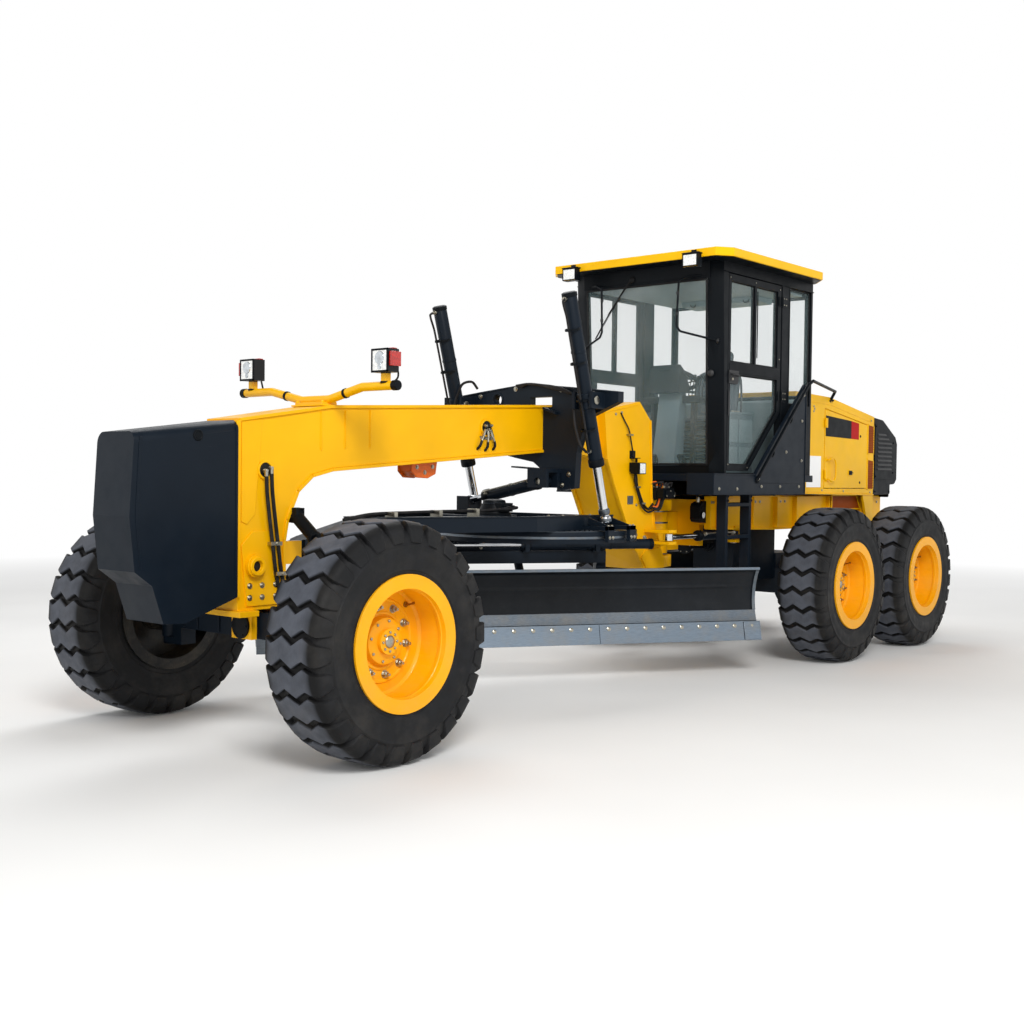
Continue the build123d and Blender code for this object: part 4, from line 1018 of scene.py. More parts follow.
m.cyl((1.265, 0.115, 1.354), (1.265, 0.160, 1.354), 0.018, 6)
m.cyl((1.335, 0.115, 1.354), (1.335, 0.160, 1.354), 0.018, 6)
piece("circle_drive_motor", m, BLACK, "drawbar", 0.0015)
m = Mesh()
for x in (1.265, 1.335):
    m.tube([(x, 0.158, 1.354), (x + 0.02, 0.205, 1.354), (x + 0.14, 0.225, 1.345), (x + 0.34, 0.190, 1.335), (x + 0.62, 0.150, 1.335), (x + 0.95, 0.110, 1.330), (x + 1.28, 0.085, 1.322), (x + 1.50, 0.070, 1.290)], 0.011, 10, 8)
piece("circle_drive_lines", m, HOSE, "drawbar", smooth=60)
m = Mesh()
for x in (1.70, 2.05, 2.45):
    y = 0.150 - (x - 1.9) * 0.06
    m.box((x, y - 0.035, 1.290 if x < 2.5 else 1.28), (x + 0.030, y + 0.055, 1.352 - (x - 1.7) * 0.02))
piece("drawbar_clips", m, ZINC, "drawbar", 0.001)

m = Mesh()
C = V(0.8, 0, 0)
teeth = 84
for i in range(teeth):
    a = 2 * math.pi * i / teeth
    h = math.pi / teeth
    loops = []
    for z in (1.112, 1.172):
        loops.append([V(0.8 + r * math.cos(a + t), r * math.sin(a + t), z) for r, t in ((0.641, -h * 0.62), (0.622, -h * 0.30), (0.622, h * 0.30), (0.641, h * 0.62))])
    m.rings(loops)
m.turn((0.8, 0, 1.190), (0, 0, 1), [(0.652, -0.001), (0.652, 0.003), (0.748, 0.003), (0.748, -0.001)], 120)
m.turn((0.8, 0, 1.148), (0, 0, 1), [(0.7595, -0.010), (0.7640, -0.008), (0.7640, 0.008), (0.7595, 0.010)], 120)
piece("circle_teeth", m, STEEL, "circle", 0.0, smooth=30)

BL = Matrix.Translation((0.8, 0, 0)) @ Matrix.Rotation(math.radians(-32.5), 4, "Z")


def placed(m):
    out = Mesh()
    out.merge(m, BL)
    return out


m = Mesh()
for side in (1, -1):
    u = side * 0.660
    m.cyl((side * 0.680, -0.238, 0.430), (side * 0.694, -0.238, 0.430), 0.040, 32)
    m.prism([(-0.404, 1.104), (-0.404, 0.98), (-0.384, 0.76), (-0.352, 0.50), (-0.345, 0.50), (-0.375, 0.76), (-0.394, 0.98), (-0.394, 1.104)], side * 0.628, side * 0.692, "yz")
    m.prism([(side * 0.30, 1.10), (side * 0.62, 1.10), (side * 0.62, 0.975)], -0.372, -0.360, "xz")
piece("blade_arm_flanges", placed(m), SLATE, "circle", 0.002)
m = Mesh()
for side in (1, -1):
    for k in range(3):
        a = 2 * math.pi * k / 3
        m.hexbolt((side * 0.694, -0.238 + 0.026 * math.cos(a), 0.430 + 0.026 * math.sin(a)), (side, 0, 0), 0.006, 0.005, False)
    for w_ in (1.02, 1.07):
        m.hexbolt((side * 0.60, -0.372, w_), (0, 1, 0), 0.010, 0.008)
        m.hexbolt((side * 0.34, -0.372, w_), (0, 1, 0), 0.010, 0.008)
piece("blade_arm_bolts", placed(m), ZINC, "circle", 0.0008)

# tip cylinder and side shift cylinder
m = Mesh()
pts, n, w = cylinder_trim(m, BL @ V(0, -0.600, 1.050), BL @ V(0, -0.300, 0.650), 0.030, 0.350, 0.034, (0.14, 0.84), BL.to_3x3() @ V(0.2, -1, 0), 0)
piece("tip_cylinder_trim", m, [SLATE, BLACK, ZINC], "tip_cylinder", 0.001)
m = Mesh()
P0, P1 = V(-1.020, -0.150, 1.055), V(0.080, -0.150, 1.055)
cylinder_trim(m, P0, P1, 0.0, 1.082, 0.040, (0.05, 0.95), (0, -0.6, 1), 2)
m.use(0)
for u in (-0.560, 0.020):
    m.prism([(-0.205, 0.998), (-0.187, 0.998), (-0.187, 1.045), (-0.177, 1.074), (-0.150, 1.087), (-0.123, 1.074), (-0.113, 1.045), (-0.113, 0.998),
             (-0.100, 0.998), (-0.100, 1.045), (-0.112, 1.080), (-0.150, 1.097), (-0.188, 1.080), (-0.205, 1.045)], u + 0.002, u + 0.038, "yz")
piece("side_shift_trim", placed(m), [SLATE, BLACK, ZINC], "blade_bracket", 0.001)
m = Mesh()
for side in (1, -1):
    for w_ in (0.43, 0.72):
        m.box((side * 0.562, -0.1795, w_ - 0.050), (side * 0.632, -0.1668, w_ + 0.050))
        for du in (0.578, 0.616):
            m.hexbolt((side * du, -0.262, w_ + 0.033), (0, -1, 0), 0.010, 0.008)
            m.hexbolt((side * du, -0.262, w_ - 0.033), (0, -1, 0), 0.010, 0.008)
m.box((-0.62, -0.266, 0.918), (0.62, -0.258, 0.930))
m.box((-0.62, -0.266, 0.975), (0.62, -0.258, 0.987))
piece("bracket_wear_strips", placed(m), BLACK, "blade_bracket", 0.001)

# ------------------------------------------------------------------ moldboard face
U0, U1 = 0.095 - 2.015, 0.095 + 2.015


def circle3(a, b, c):
    (ax, ay), (bx, by), (cx, cy) = a, b, c
    d = 2 * (ax * (by - cy) + bx * (cy - ay) + cx * (ay - by))
    ux = ((ax * ax + ay * ay) * (by - cy) + (bx * bx + by * by) * (cy - ay) + (cx * cx + cy * cy) * (ay - by)) / d
    uy = ((ax * ax + ay * ay) * (cx - bx) + (bx * bx + by * by) * (ax - cx) + (cx * cx + cy * cy) * (bx - ax)) / d
    return ux, uy, math.hypot(ax - ux, ay - uy)


FC = circle3((-0.018, 0.335), (-0.113, 0.560), (-0.036, 0.862))
BC = circle3((-0.040, 0.330), (-0.133, 0.562), (-0.058, 0.862))


def face_v(w, c=FC):
    return c[0] - math.sqrt(max(0.0, c[2] ** 2 - (w - c[1]) ** 2))


def skin(m, u0, u1, w0, w1, lift, thick, n=10, c=FC, sign=1):
    """Curved strip lying on the moldboard's face between heights w0 and w1."""
    ws = [w0 + (w1 - w0) * i / n for i in range(n + 1)]
    outer = [(face_v(w, c) + sign * (lift + thick), w) for w in ws]
    inner = [(face_v(w, c) + sign * lift, w) for w in reversed(ws)]
    m.prism(outer + inner, u0, u1, "yz")


m = Mesh()
skin(m, U0 + 0.004, U1 - 0.004, 0.430, 0.516, -0.001, 0.007)
skin(m, U0 + 0.0, U0 + 0.028, 0.516, 0.852, -0.001, 0.009)
skin(m, U1 - 0.028, U1, 0.516, 0.852, -0.001, 0.009)
piece("moldboard_wear_plate", placed(m), STEEL, "moldboard", 0.0012)
m = Mesh()
m.box((U0, -0.062, 0.8600), (U1, -0.032, 0.8665))
m.box((U0, -0.0335, 0.846), (U1, -0.030, 0.8665))
piece("moldboard_top_strip", placed(m), EDGE, "moldboard", 0.001)

EC = math.radians(14)


def edge_pt(u, h, out):
    """Point on the cutting edge's face: h up the plate from its foot, out ahead of its face."""
    v0, w0 = 0.022 - 0.014, 0.280
    y, z = 0.010 + out, h
    return V(u, v0 + y * math.cos(EC) - z * math.sin(EC), w0 + y * math.sin(EC) + z * math.cos(EC))


m = Mesh()
count = 26
e_n = (0, math.cos(EC), math.sin(EC))
for i in range(count):
    u = U0 + 0.075 + (U1 - U0 - 0.150) * i / (count - 1)
    p = edge_pt(u, 0.118, 0.0)
    m.turn(p, e_n, [(0.0175, -0.001), (0.0165, 0.0035), (0.010, 0.006), (0.0005, 0.0065)], 20)
piece("cutting_edge_bolts", placed(m), ZINC, "moldboard", 0)
m = Mesh()
for u in (U0 + 0.150, 0.095 - 0.62, 0.095 + 0.62, U1 - 0.150):
    p, q = edge_pt(u, 0.004, 0.0006), edge_pt(u, 0.150, 0.0006)
    m.rings([[p + V(-0.002, 0, 0), p + V(0.002, 0, 0), q + V(0.002, 0, 0), q + V(-0.002, 0, 0)],
             [p + V(-0.002, 0, 0) - V(*e_n) * 0.004, p + V(0.002, 0, 0) - V(*e_n) * 0.004, q + V(0.002, 0, 0) - V(*e_n) * 0.004, q + V(-0.002, 0, 0) - V(*e_n) * 0.004]])
piece("cutting_edge_joints", placed(m), BLACK, "moldboard", 0, smooth=0)
# end bits, thicker and rounded at the outer corner
m = Mesh()
for ua, ub in ((U0, U0 + 0.148), (U1 - 0.148, U1)):
    a0, a1 = edge_pt(ua + 0.001, 0.006, 0.0), edge_pt(ub, 0.006, 0.0)
    b0, b1 = edge_pt(ua + 0.001, 0.150, 0.0), edge_pt(ub, 0.150, 0.0)
    nn = V(*e_n) * 0.0055
    m.rings([[a0, a1, b1, b0], [a0 + nn, a1 + nn, b1 + nn, b0 + nn]])
piece("cutting_edge_ends", placed(m), EDGE, "moldboard", 0.002)
# back of the blade: uprights between two rails
m = Mesh()
for i in range(9):
    u = U0 + 0.32 + (U1 - U0 - 0.64) * i / 8
    pts = [(face_v(w, BC) + 0.002, w) for w in (0.445, 0.52, 0.60, 0.70)] + [(-0.157, 0.70), (-0.157, 0.62), (-0.148, 0.52), (-0.157, 0.445)]
    m.prism(pts, u - 0.008, u + 0.008, "yz")
m.box((U0 + 0.262, -0.1635, 0.412), (U1 - 0.262, -0.158, 0.443))
m.box((U0 + 0.262, -0.1635, 0.702), (U1 - 0.262, -0.158, 0.733))
piece("moldboard_ribs", placed(m), BLADEPAINT, "moldboard", 0.0015)
m = Mesh()
m.turn((0.905, -0.150, 1.055), (-1, 0, 0), [(0.046, 0.0), (0.046, 0.006), (0.034, 0.010), (0.022, 0.010)], 32)
m.turn((1.006, -0.150, 1.055), (1, 0, 0), [(0.040, 0.0), (0.036, 0.010), (0.0005, 0.012)], 32)
for i in range(4):
    a = math.pi / 4 + math.pi / 2 * i
    m.hexbolt((1.006, -0.150 + 0.030 * math.cos(a), 1.055 + 0.030 * math.sin(a)), (1, 0, 0), 0.006, 0.005, False)
piece("side_shift_lug_caps", placed(m), BLACK, "moldboard", 0.001)


# ------------------------------------------------------------------ rear leg of the gooseneck
m, bolts = Mesh(), Mesh()
for side in (1, -1):
    y = side * 0.220
    m.prism([(-0.150, 1.435), (-0.072, 1.435), (-0.072, 1.366), (-0.150, 1.366)], y, y + side * 0.004)
    for x in (-0.142, -0.080):
        for z in (1.374, 1.427):
            bolts.hexbolt((x, y + side * 0.004, z), (0, side, 0), 0.004, 0.002, False)
    for x, z in ((0.10, 2.085), (0.02, 2.10), (-0.20, 1.36), (-0.30, 1.36)):
        bolts.hexbolt((x, y, z), (0, side, 0), 0.009, 0.007)
piece("leg_plates", m, PLASTIC_GREY, "front_frame", 0.001)
m = Mesh()
for side in (1, -1):
    y = side * 0.220
    # edge flanges up the front and the rear of the leg, doubler at the foot
    m.prism([(0.205, 1.735), (0.08, 1.49), (-0.06, 1.24), (-0.20, 1.00), (-0.33, 0.828), (-0.315, 0.820), (-0.186, 0.992), (-0.045, 1.233), (0.094, 1.483), (0.219, 1.729)], y - side * 0.018, y + side * 0.010)
    m.prism([(-0.381, 2.055), (-0.411, 1.440), (-0.456, 1.200), (-0.546, 1.010), (-0.556, 1.004), (-0.466, 1.196), (-0.421, 1.438), (-0.391, 2.055)], y - side * 0.018, y + side * 0.010)
    m.prism([(-0.545, 1.005), (-0.605, 0.922), (-0.605, 0.832), (-0.350, 0.832), (-0.270, 0.930), (-0.330, 0.985)], y - side * 0.002, y + side * 0.008)
    # two stub ears that carry the front end of the articulation cylinder
    for z0 in (1.028, 1.148):
        m.prism([(-0.46, side * 0.235), (-0.34, side * 0.235), (-0.338, side * 0.34), (-0.352, side * 0.372), (-0.395, side * 0.372), (-0.425, side * 0.33)], z0 + 0.001, z0 + 0.006, "xy")
piece("leg_flanges", m, YELLOW_LOW, "front_frame", 0.002)
piece("leg_bolts", bolts, ZINC, "front_frame", 0.0008)

# work lamp on the leg, its bracket and the cable bundle
m = Mesh()
m.use(0)
m.box((-0.170, 0.220, 1.735), (-0.094, 0.226, 1.800))
m.prism([(0.221, 1.742), (0.285, 1.742), (0.285, 1.736), (0.221, 1.736)], -0.158, -0.106, "yz")
m.prism([(0.236, 1.742), (0.242, 1.742), (0.262, 1.700), (0.256, 1.700)], -0.150, -0.142, "yz")
m.cyl((-0.132, 0.262, 1.736), (-0.132, 0.262, 1.706), 0.010, 16)
m.prism([(0.226, 1.704), (0.312, 1.704), (0.322, 1.692), (0.322, 1.622), (0.312, 1.610), (0.246, 1.610), (0.226, 1.634)], -0.178, -0.086, "yz")
for k in range(4):
    m.box((-0.172, 0.2235, 1.640 + k * 0.016), (-0.092, 0.2285, 1.646 + k * 0.016))
m.use(1)
m.prism([(-0.171, 1.617), (-0.093, 1.617), (-0.093, 1.697), (-0.171, 1.697)], 0.320, 0.3265)
m.use(2)
m.prism([(-0.176, 1.612), (-0.088, 1.612), (-0.088, 1.617), (-0.171, 1.617), (-0.171, 1.697), (-0.093, 1.697), (-0.093, 1.617), (-0.088, 1.617), (-0.088, 1.702), (-0.176, 1.702)], 0.3205, 0.328)
piece("leg_lamp", m, [BLACK, LENS, BLACK], "front_frame", 0.0015)
m = Mesh()
m.tube([(0.040, 0.226, 2.098), (-0.010, 0.232, 2.03), (-0.055, 0.238, 1.97), (-0.085, 0.238, 1.89), (-0.110, 0.240, 1.80), (-0.122, 0.246, 1.742)], 0.0058, 10, 8)
m.tube([(-0.132, 0.262, 1.612), (-0.140, 0.262, 1.585), (-0.165, 0.250, 1.53), (-0.215, 0.243, 1.45), (-0.270, 0.242, 1.37), (-0.345, 0.240, 1.325), (-0.430, 0.236, 1.345)], 0.0075, 10, 8)
m.tube([(-0.120, 0.262, 1.612), (-0.118, 0.264, 1.57), (-0.150, 0.254, 1.50), (-0.195, 0.250, 1.42), (-0.245, 0.246, 1.345), (-0.335, 0.242, 1.300), (-0.435, 0.236, 1.315)], 0.0075, 10, 8)
m.tube([(-0.148, 0.236, 1.61), (-0.152, 0.232, 1.56), (-0.188, 0.230, 1.49), (-0.232, 0.229, 1.42), (-0.290, 0.229, 1.345), (-0.360, 0.229, 1.330), (-0.425, 0.229, 1.372)], 0.006, 10, 8)
piece("leg_cables", m, HOSE, "front_frame", smooth=60)
m = Mesh()
for x, z in ((-0.070, 1.925), (-0.182, 1.505), (-0.255, 1.372)):
    m.box((x - 0.020, 0.221, z - 0.007), (x + 0.024, 0.262, z + 0.007))
piece("leg_clips", m, ZINC, "front_frame", 0.001)

# valve stack behind the leg: sections, spool caps, ports and the bundle of hoses
m = Mesh()
m.use(0)
for k in range(7):
    y0 = -0.150 + k * 0.070
    m.prism([(-0.420, 1.412), (-0.585, 1.412), (-0.585, 1.480), (-0.572, 1.498), (-0.430, 1.498), (-0.420, 1.486)], y0 + 0.002, y0 + 0.066)
m.box((-0.560, -0.158, 1.424), (-0.440, 0.348, 1.484))
m.use(1)
for k in range(7):
    y = -0.115 + k * 0.070
    m.cyl((-0.585, y, 1.452), (-0.625, y, 1.452), 0.018, 20)
    m.cyl((-0.625, y, 1.452), (-0.634, y, 1.452), 0.012, 6)
    m.cyl((-0.470, y, 1.498), (-0.470, y, 1.516), 0.014, 6)
    m.cyl((-0.535, y, 1.498), (-0.535, y, 1.516), 0.014, 6)
for y in (-0.135, 0.325):
    for x, z in ((-0.450, 1.435), (-0.560, 1.435), (-0.505, 1.475)):
        m.hexbolt((x, -0.158 if y < 0 else 0.348, z), (0, -1 if y < 0 else 1, 0), 0.008, 0.006, False)
piece("valve_stack", m, [BLACK, ZINC], "front_frame", 0.002)
m, red = Mesh(), Mesh()
for k in range(7):
    y = -0.115 + k * 0.070
    tgt = red if k % 3 == 2 else m
    tgt.tube([(-0.470, y, 1.512), (-0.468, y, 1.538), (-0.440, y + 0.004, 1.548), (-0.412, y * 0.7, 1.530)], 0.0085, 9, 7)
for k in range(4):
    y = 0.205 + k * 0.030
    tgt = red if k == 1 else m
    tgt.tube([(-0.535, 0.165 + k * 0.055, 1.512), (-0.530, 0.190 + k * 0.05, 1.540), (-0.490, 0.268 + k * 0.022, 1.530), (-0.462, 0.262 + k * 0.020, 1.47 - k * 0.004),
              (-0.452, 0.258 + k * 0.018, 1.40), (-0.430, 0.250 + k * 0.014, 1.352 - k * 0.010), (-0.405, 0.236 + k * 0.006, 1.36 - k * 0.012)], 0.0085, 9, 8)
piece("valve_hoses", m, HOSE, "front_frame", smooth=60)
piece("valve_hoses_wrapped", red, ORANGE, "front_frame", smooth=60)

# ------------------------------------------------------------------ articulation
m = Mesh()
for z, d in ((1.395, 1), (0.828, -1)):
    m.turn((-0.790, 0, z), (0, 0, d), [(0.088, -0.001), (0.088, 0.010), (0.080, 0.015), (0.0005, 0.016)], 40)
    for i in range(6):
        a = math.pi / 6 + i * math.pi / 3
        m.hexbolt((-0.790 + 0.068 * math.cos(a), 0.068 * math.sin(a), z + d * 0.013), (0, 0, d), 0.009, 0.007, False)
piece("articulation_caps", m, BLACK, "front_frame", 0.001)
m = Mesh()
for z in (0.934, 1.296):
    m.ring((-0.790, 0, z), (0, 0, 1), 0.1145, 0.018, 0.010, 44)
for z in (1.02, 1.20):
    m.turn((-0.790, 0, z), (0, 0, 1), [(0.1120, -0.008), (0.1150, -0.006), (0.1150, 0.006), (0.1120, 0.008)], 44)
piece("articulation_seals", m, STEEL, "rear_frame", 0.001)
m = Mesh()
for side in (1, -1):
    m.turn((-1.400, side * 0.420, 1.172), (0, 0, 1), [(0.030, -0.001), (0.030, 0.006), (0.022, 0.010), (0.0005, 0.010)], 28)
    m.turn((-1.400, side * 0.420, 1.028), (0, 0, -1), [(0.030, -0.001), (0.030, 0.006), (0.022, 0.010), (0.0005, 0.010)], 28)
    m.hexbolt((-1.400, side * 0.420, 1.181), (0, 0, 1), 0.009, 0.006, False)
piece("articulation_pin_caps_rear", m, ZINC, "rear_frame", 0.001)

# ------------------------------------------------------------------ rear frame
m = Mesh()
for side in (1, -1):
    lo, hi = side * 0.450, side * 0.459
    # bottom and top flanges on the rails, front end plate
    m.prism([(-0.944, 1.165), (-0.944, 1.150), (-2.000, 1.124), (-3.500, 1.124), (-3.500, 1.140), (-2.000, 1.140)], side * 0.405, side * 0.470)
    m.prism([(-0.944, 1.425), (-2.16, 1.425), (-2.16, 1.433), (-0.944, 1.433)], side * 0.405, side * 0.466)
    m.prism([(-0.944, 1.160), (-0.936, 1.160), (-0.936, 1.430), (-0.944, 1.430)], side * 0.405, side * 0.468)
    # stiffeners behind the ladder, doubler over the axle bracket
    for x in (-1.05, -1.62, -2.05, -2.42, -3.09, -3.42):
        m.prism([(x, 1.142), (x - 0.010, 1.142), (x - 0.010, 1.423), (x, 1.423)], lo - side * 0.002, side * 0.492)
    m.prism([(-2.56, 1.160), (-2.96, 1.160), (-2.90, 1.010), (-2.62, 1.010)], lo - side * 0.001, hi)
    m.prism([(-3.60, 1.10), (-3.72, 1.075), (-4.26, 1.075), (-4.26, 1.40), (-3.60, 1.40)], lo - side * 0.001, side * 0.457)
piece("rear_frame_flanges", m, YELLOW_LOW, "rear_frame", 0.002)
m = Mesh()
for side in (1, -1):
    y = side * 0.459
    for x in (-2.62, -2.69, -2.83, -2.90):
        for z in (1.075, 1.135):
            m.hexbolt((x, y, z), (0, side, 0), 0.014, 0.011)
    for x in (-3.66, -3.86, -4.06, -4.22):
        for z in (1.12, 1.36):
            m.hexbolt((x, side * 0.457, z), (0, side, 0), 0.011, 0.009)
    for x in (-0.985, -1.015, -1.72, -1.80, -2.18, -2.26):
        m.hexbolt((x, side * 0.450, 1.38), (0, side, 0), 0.010, 0.008)
    for x in (-2.700, -2.820):
        m.hexbolt((x, side * 0.450, 0.860), (0, side, 0), 0.016, 0.012)
piece("rear_frame_bolts", m, ZINC, "rear_frame", 0.0008)

# pump and filter that sit ahead of the rails, with the round white gauge
m = Mesh()
m.use(0)
for side in (1, -1):
    m.prism([(-0.936, 1.205), (-0.862, 1.215), (-0.842, 1.240), (-0.842, 1.345), (-0.862, 1.372), (-0.936, 1.392)], side * 0.325, side * 0.425)
    for k in range(4):
        m.box((-0.925, side * 0.3205, 1.245 + k * 0.028), (-0.856, side * 0.429, 1.252 + k * 0.028))
    m.use(2)
    m.cyl((-0.895, side * 0.370, 1.380), (-0.895, side * 0.370, 1.412), 0.020, 24)
    m.cyl((-0.895, side * 0.370, 1.412), (-0.895, side * 0.370, 1.424), 0.014, 6)
    m.use(0)
    m.turn((-0.880, side * 0.425, 1.272), (0, side, 0), [(0.031, -0.002), (0.031, 0.012), (0.027, 0.014), (0.026, 0.009)], 36)
m.use(1)
m.turn((-0.880, 0.425, 1.272), (0, 1, 0), [(0.0265, 0.006), (0.0265, 0.0105), (0.0005, 0.0105)], 36)
m.turn((-0.880, -0.425, 1.272), (0, -1, 0), [(0.0265, 0.006), (0.0265, 0.0105), (0.0005, 0.0105)], 36)
m.use(2)
for side in (1, -1):
    m.box((-0.8815, side * 0.4352, 1.272), (-0.8785, side * 0.4368, 1.290))
piece("filter_housings", m, [BLACK, WHITE, ZINC], "rear_frame", 0.0015)
m = Mesh()
for side in (1, -1):
    for k in range(3):
        m.tube([(-0.905 - 0.012 * k, side * 0.350, 1.420), (-0.93, side * (0.345 - 0.02 * k), 1.470 + 0.01 * k), (-1.02, side * (0.335 - 0.02 * k), 1.500), (-1.16, side * (0.33 - 0.02 * k), 1.490), (-1.34, side * 0.32, 1.450)], 0.010, 10, 8)
piece("filter_hoses", m, HOSE, "rear_frame", smooth=60)

# hydraulic tank and battery box under the cab deck, drive shaft and belly parts that show behind the ladder
m = Mesh()
m.use(0)
m.prism([(-1.16, 1.190), (-2.30, 1.190), (-2.30, 1.400), (-2.24, 1.420), (-1.22, 1.420), (-1.16, 1.400)], -0.340, 0.340)
for x in (-1.36, -1.74, -2.12):
    m.prism([(-0.345, 1.186), (0.345, 1.186), (0.345, 1.424), (-0.345, 1.424)], x, x + 0.022, "yz")
m.use(1)
m.turn((-1.56, 0.0, 1.190), (0, 0, -1), [(0.070, -0.002), (0.070, 0.012), (0.050, 0.020), (0.0005, 0.020)], 30)
m.hexbolt((-1.56, 0.0, 1.170), (0, 0, -1), 0.014, 0.010)
piece("belly_tank", m, [SLATE, ZINC], "rear_frame", 0.006)
m = Mesh()
m.use(0)
m.turn((-1.26, 0, 0.985), (-1, 0, 0), [(0.040, 0.0), (0.075, 0.004), (0.075, 0.022), (0.052, 0.030), (0.052, 0.070), (0.036, 0.085), (0.036, 0.330), (0.052, 0.345), (0.052, 0.380), (0.070, 0.388), (0.070, 0.404), (0.0005, 0.405)], 40)
m.use(1)
for k in range(6):
    a = k * math.pi / 3
    m.hexbolt((-1.262, 0.062 * math.cos(a), 0.985 + 0.062 * math.sin(a)), (1, 0, 0), 0.006, 0.005, False)
m.use(0)
m.box((-1.27, -0.30, 1.02), (-1.110, 0.30, 1.10))
piece("drive_shaft_guard", m, [BLACK, ZINC], "rear_frame", 0.002)

# ------------------------------------------------------------------ rear axle, tandems and hitch
m = Mesh()
for side in (1, -1):
    m.turn((-2.760, side * 0.470, 0.670), (0, side, 0), [(0.175, 0.0), (0.185, 0.008), (0.185, 0.030), (0.160, 0.040), (0.140, 0.120), (0.150, 0.132), (0.121, 0.134)], 56)
    for x in (-1.990, -3.530):
        m.turn((x, side * 0.800, 0.670), (0, side, 0), [(0.150, -0.001), (0.150, 0.012), (0.138, 0.018), (0.112, 0.018)], 48)
    # cover rims and ribs on the cases
    m.prism([(-3.62, 0.862), (-1.90, 0.862), (-1.90, 0.872), (-3.62, 0.872)], side * 0.600, side * 0.806)
    m.prism([(-3.640, 0.498), (-1.880, 0.498), (-1.880, 0.489), (-3.640, 0.489)], side * 0.600, side * 0.806)
    for x in (-2.36, -2.58, -2.94, -3.16):
        m.prism([(x, 0.500), (x - 0.012, 0.500), (x - 0.012, 0.860), (x, 0.860)], side * 0.799, side * 0.812)
    m.prism([(-2.48, 0.56), (-3.04, 0.56), (-3.04, 0.80), (-2.48, 0.80)], side * 0.799, side * 0.806)
    m.prism([(-3.16, 0.872), (-3.16, 0.886), (-3.44, 0.886), (-3.44, 0.872)], side * 0.640, side * 0.760)
piece("tandem_ribs", m, SLATE, "rear_frame", 0.002)
m = Mesh()
for side in (1, -1):
    for i in range(12):
        a = 2 * math.pi * i / 12
        m.hexbolt((-2.760 + 0.170 * math.cos(a), side * 0.500, 0.670 + 0.170 * math.sin(a)), (0, side, 0), 0.010, 0.008)
    for x in (-1.990, -3.530):
        for i in range(10):
            a = 2 * math.pi * i / 10
            m.hexbolt((x + 0.132 * math.cos(a), side * 0.817, 0.670 + 0.132 * math.sin(a)), (0, side, 0), 0.007, 0.006, False)
    for x in (-2.50, -2.62, -2.76, -2.90, -3.02):
        for z in (0.575, 0.785):
            m.hexbolt((x, side * 0.806, z), (0, side, 0), 0.009, 0.007)
    for x in (-2.02, -3.50, -2.76):
        m.turn((x, side * 0.700, 0.872), (0, 0, 1), [(0.026, -0.001), (0.026, 0.010), (0.018, 0.014), (0.0005, 0.014)], 24)
piece("tandem_bolts", m, ZINC, "rear_frame", 0.0008)
m = Mesh()
m.turn((-2.760, 0, 0.690), (-1, 0, 0), [(0.180, 0.249), (0.180, 0.262), (0.150, 0.284), (0.100, 0.294), (0.0005, 0.296)], 44)
for i in range(12):
    a = 2 * math.pi * i / 12
    m.hexbolt((-3.022, 0.168 * math.cos(a), 0.690 + 0.168 * math.sin(a)), (-1, 0, 0), 0.010, 0.008)
piece("axle_cover", m, SLATE, "rear_frame", 0.001)
m = Mesh()
m.turn((-4.390, 0, 1.050), (0, 0, 1), [(0.046, 0.0), (0.046, 0.006), (0.026, 0.006), (0.026, 0.0)], 32, close=True)
m.turn((-4.390, 0, 0.900), (0, 0, -1), [(0.046, 0.0), (0.046, 0.006), (0.026, 0.006), (0.026, 0.0)], 32, close=True)
for y in (-0.32, 0.32):
    m.prism([(-4.330, 0.92), (-4.338, 0.92), (-4.338, 1.10), (-4.330, 1.10)], y - 0.05, y + 0.05)
    m.torus((-4.345, y, 1.005), (0, 1, 0), 0.028, 0.008, 24, 8)
piece("hitch_rims", m, YELLOW_LOW, "rear_frame", 0.001)

# ------------------------------------------------------------------ ladders
m, rub = Mesh(), Mesh()
for side in (1, -1):
    for z in (0.50, 0.79, 1.08, 1.35):
        y0, y1 = side * 0.575, side * 0.690
        for k in range(5):
            x = -0.905 - k * 0.062
            m.turn((x, side * 0.640, z + 0.0300), (0, 0, 1), [(0.016, 0.0), (0.019, 0.002), (0.017, 0.004), (0.0135, 0.0035)], 16)
    for x in (-0.850, -1.230):
        for z in (1.40, 1.435):
            m.hexbolt((x, side * 0.690, z), (0, side, 0), 0.008, 0.006)
        m.prism([(x - 0.016, 0.480), (x + 0.016, 0.480), (x + 0.010, 0.466), (x - 0.010, 0.466)], side * 0.594, side * 0.686)
piece("ladder_treads", m, SLATE, "rear_frame", 0.0005)


# ------------------------------------------------------------------ hood
HOOD_Y = 0.575


def frame_strip(m, pts, w, y0, y1):
    """Flat strip of width w just inside the closed outline pts (x, z)."""
    n = len(pts)
    cx, cz = sum(p[0] for p in pts) / n, sum(p[1] for p in pts) / n
    for i in range(n):
        a, b = V(*pts[i], 0), V(*pts[(i + 1) % n], 0)
        d = (b - a).normalized()
        nn = V(-d.y, d.x, 0)
        if nn.dot(V(cx, cz, 0) - a) < 0:
            nn = -nn
        q = [a, b, b + nn * w - d * w * 0.0, a + nn * w]
        m.prism([(p.x, p.y) for p in q], y0, y1)


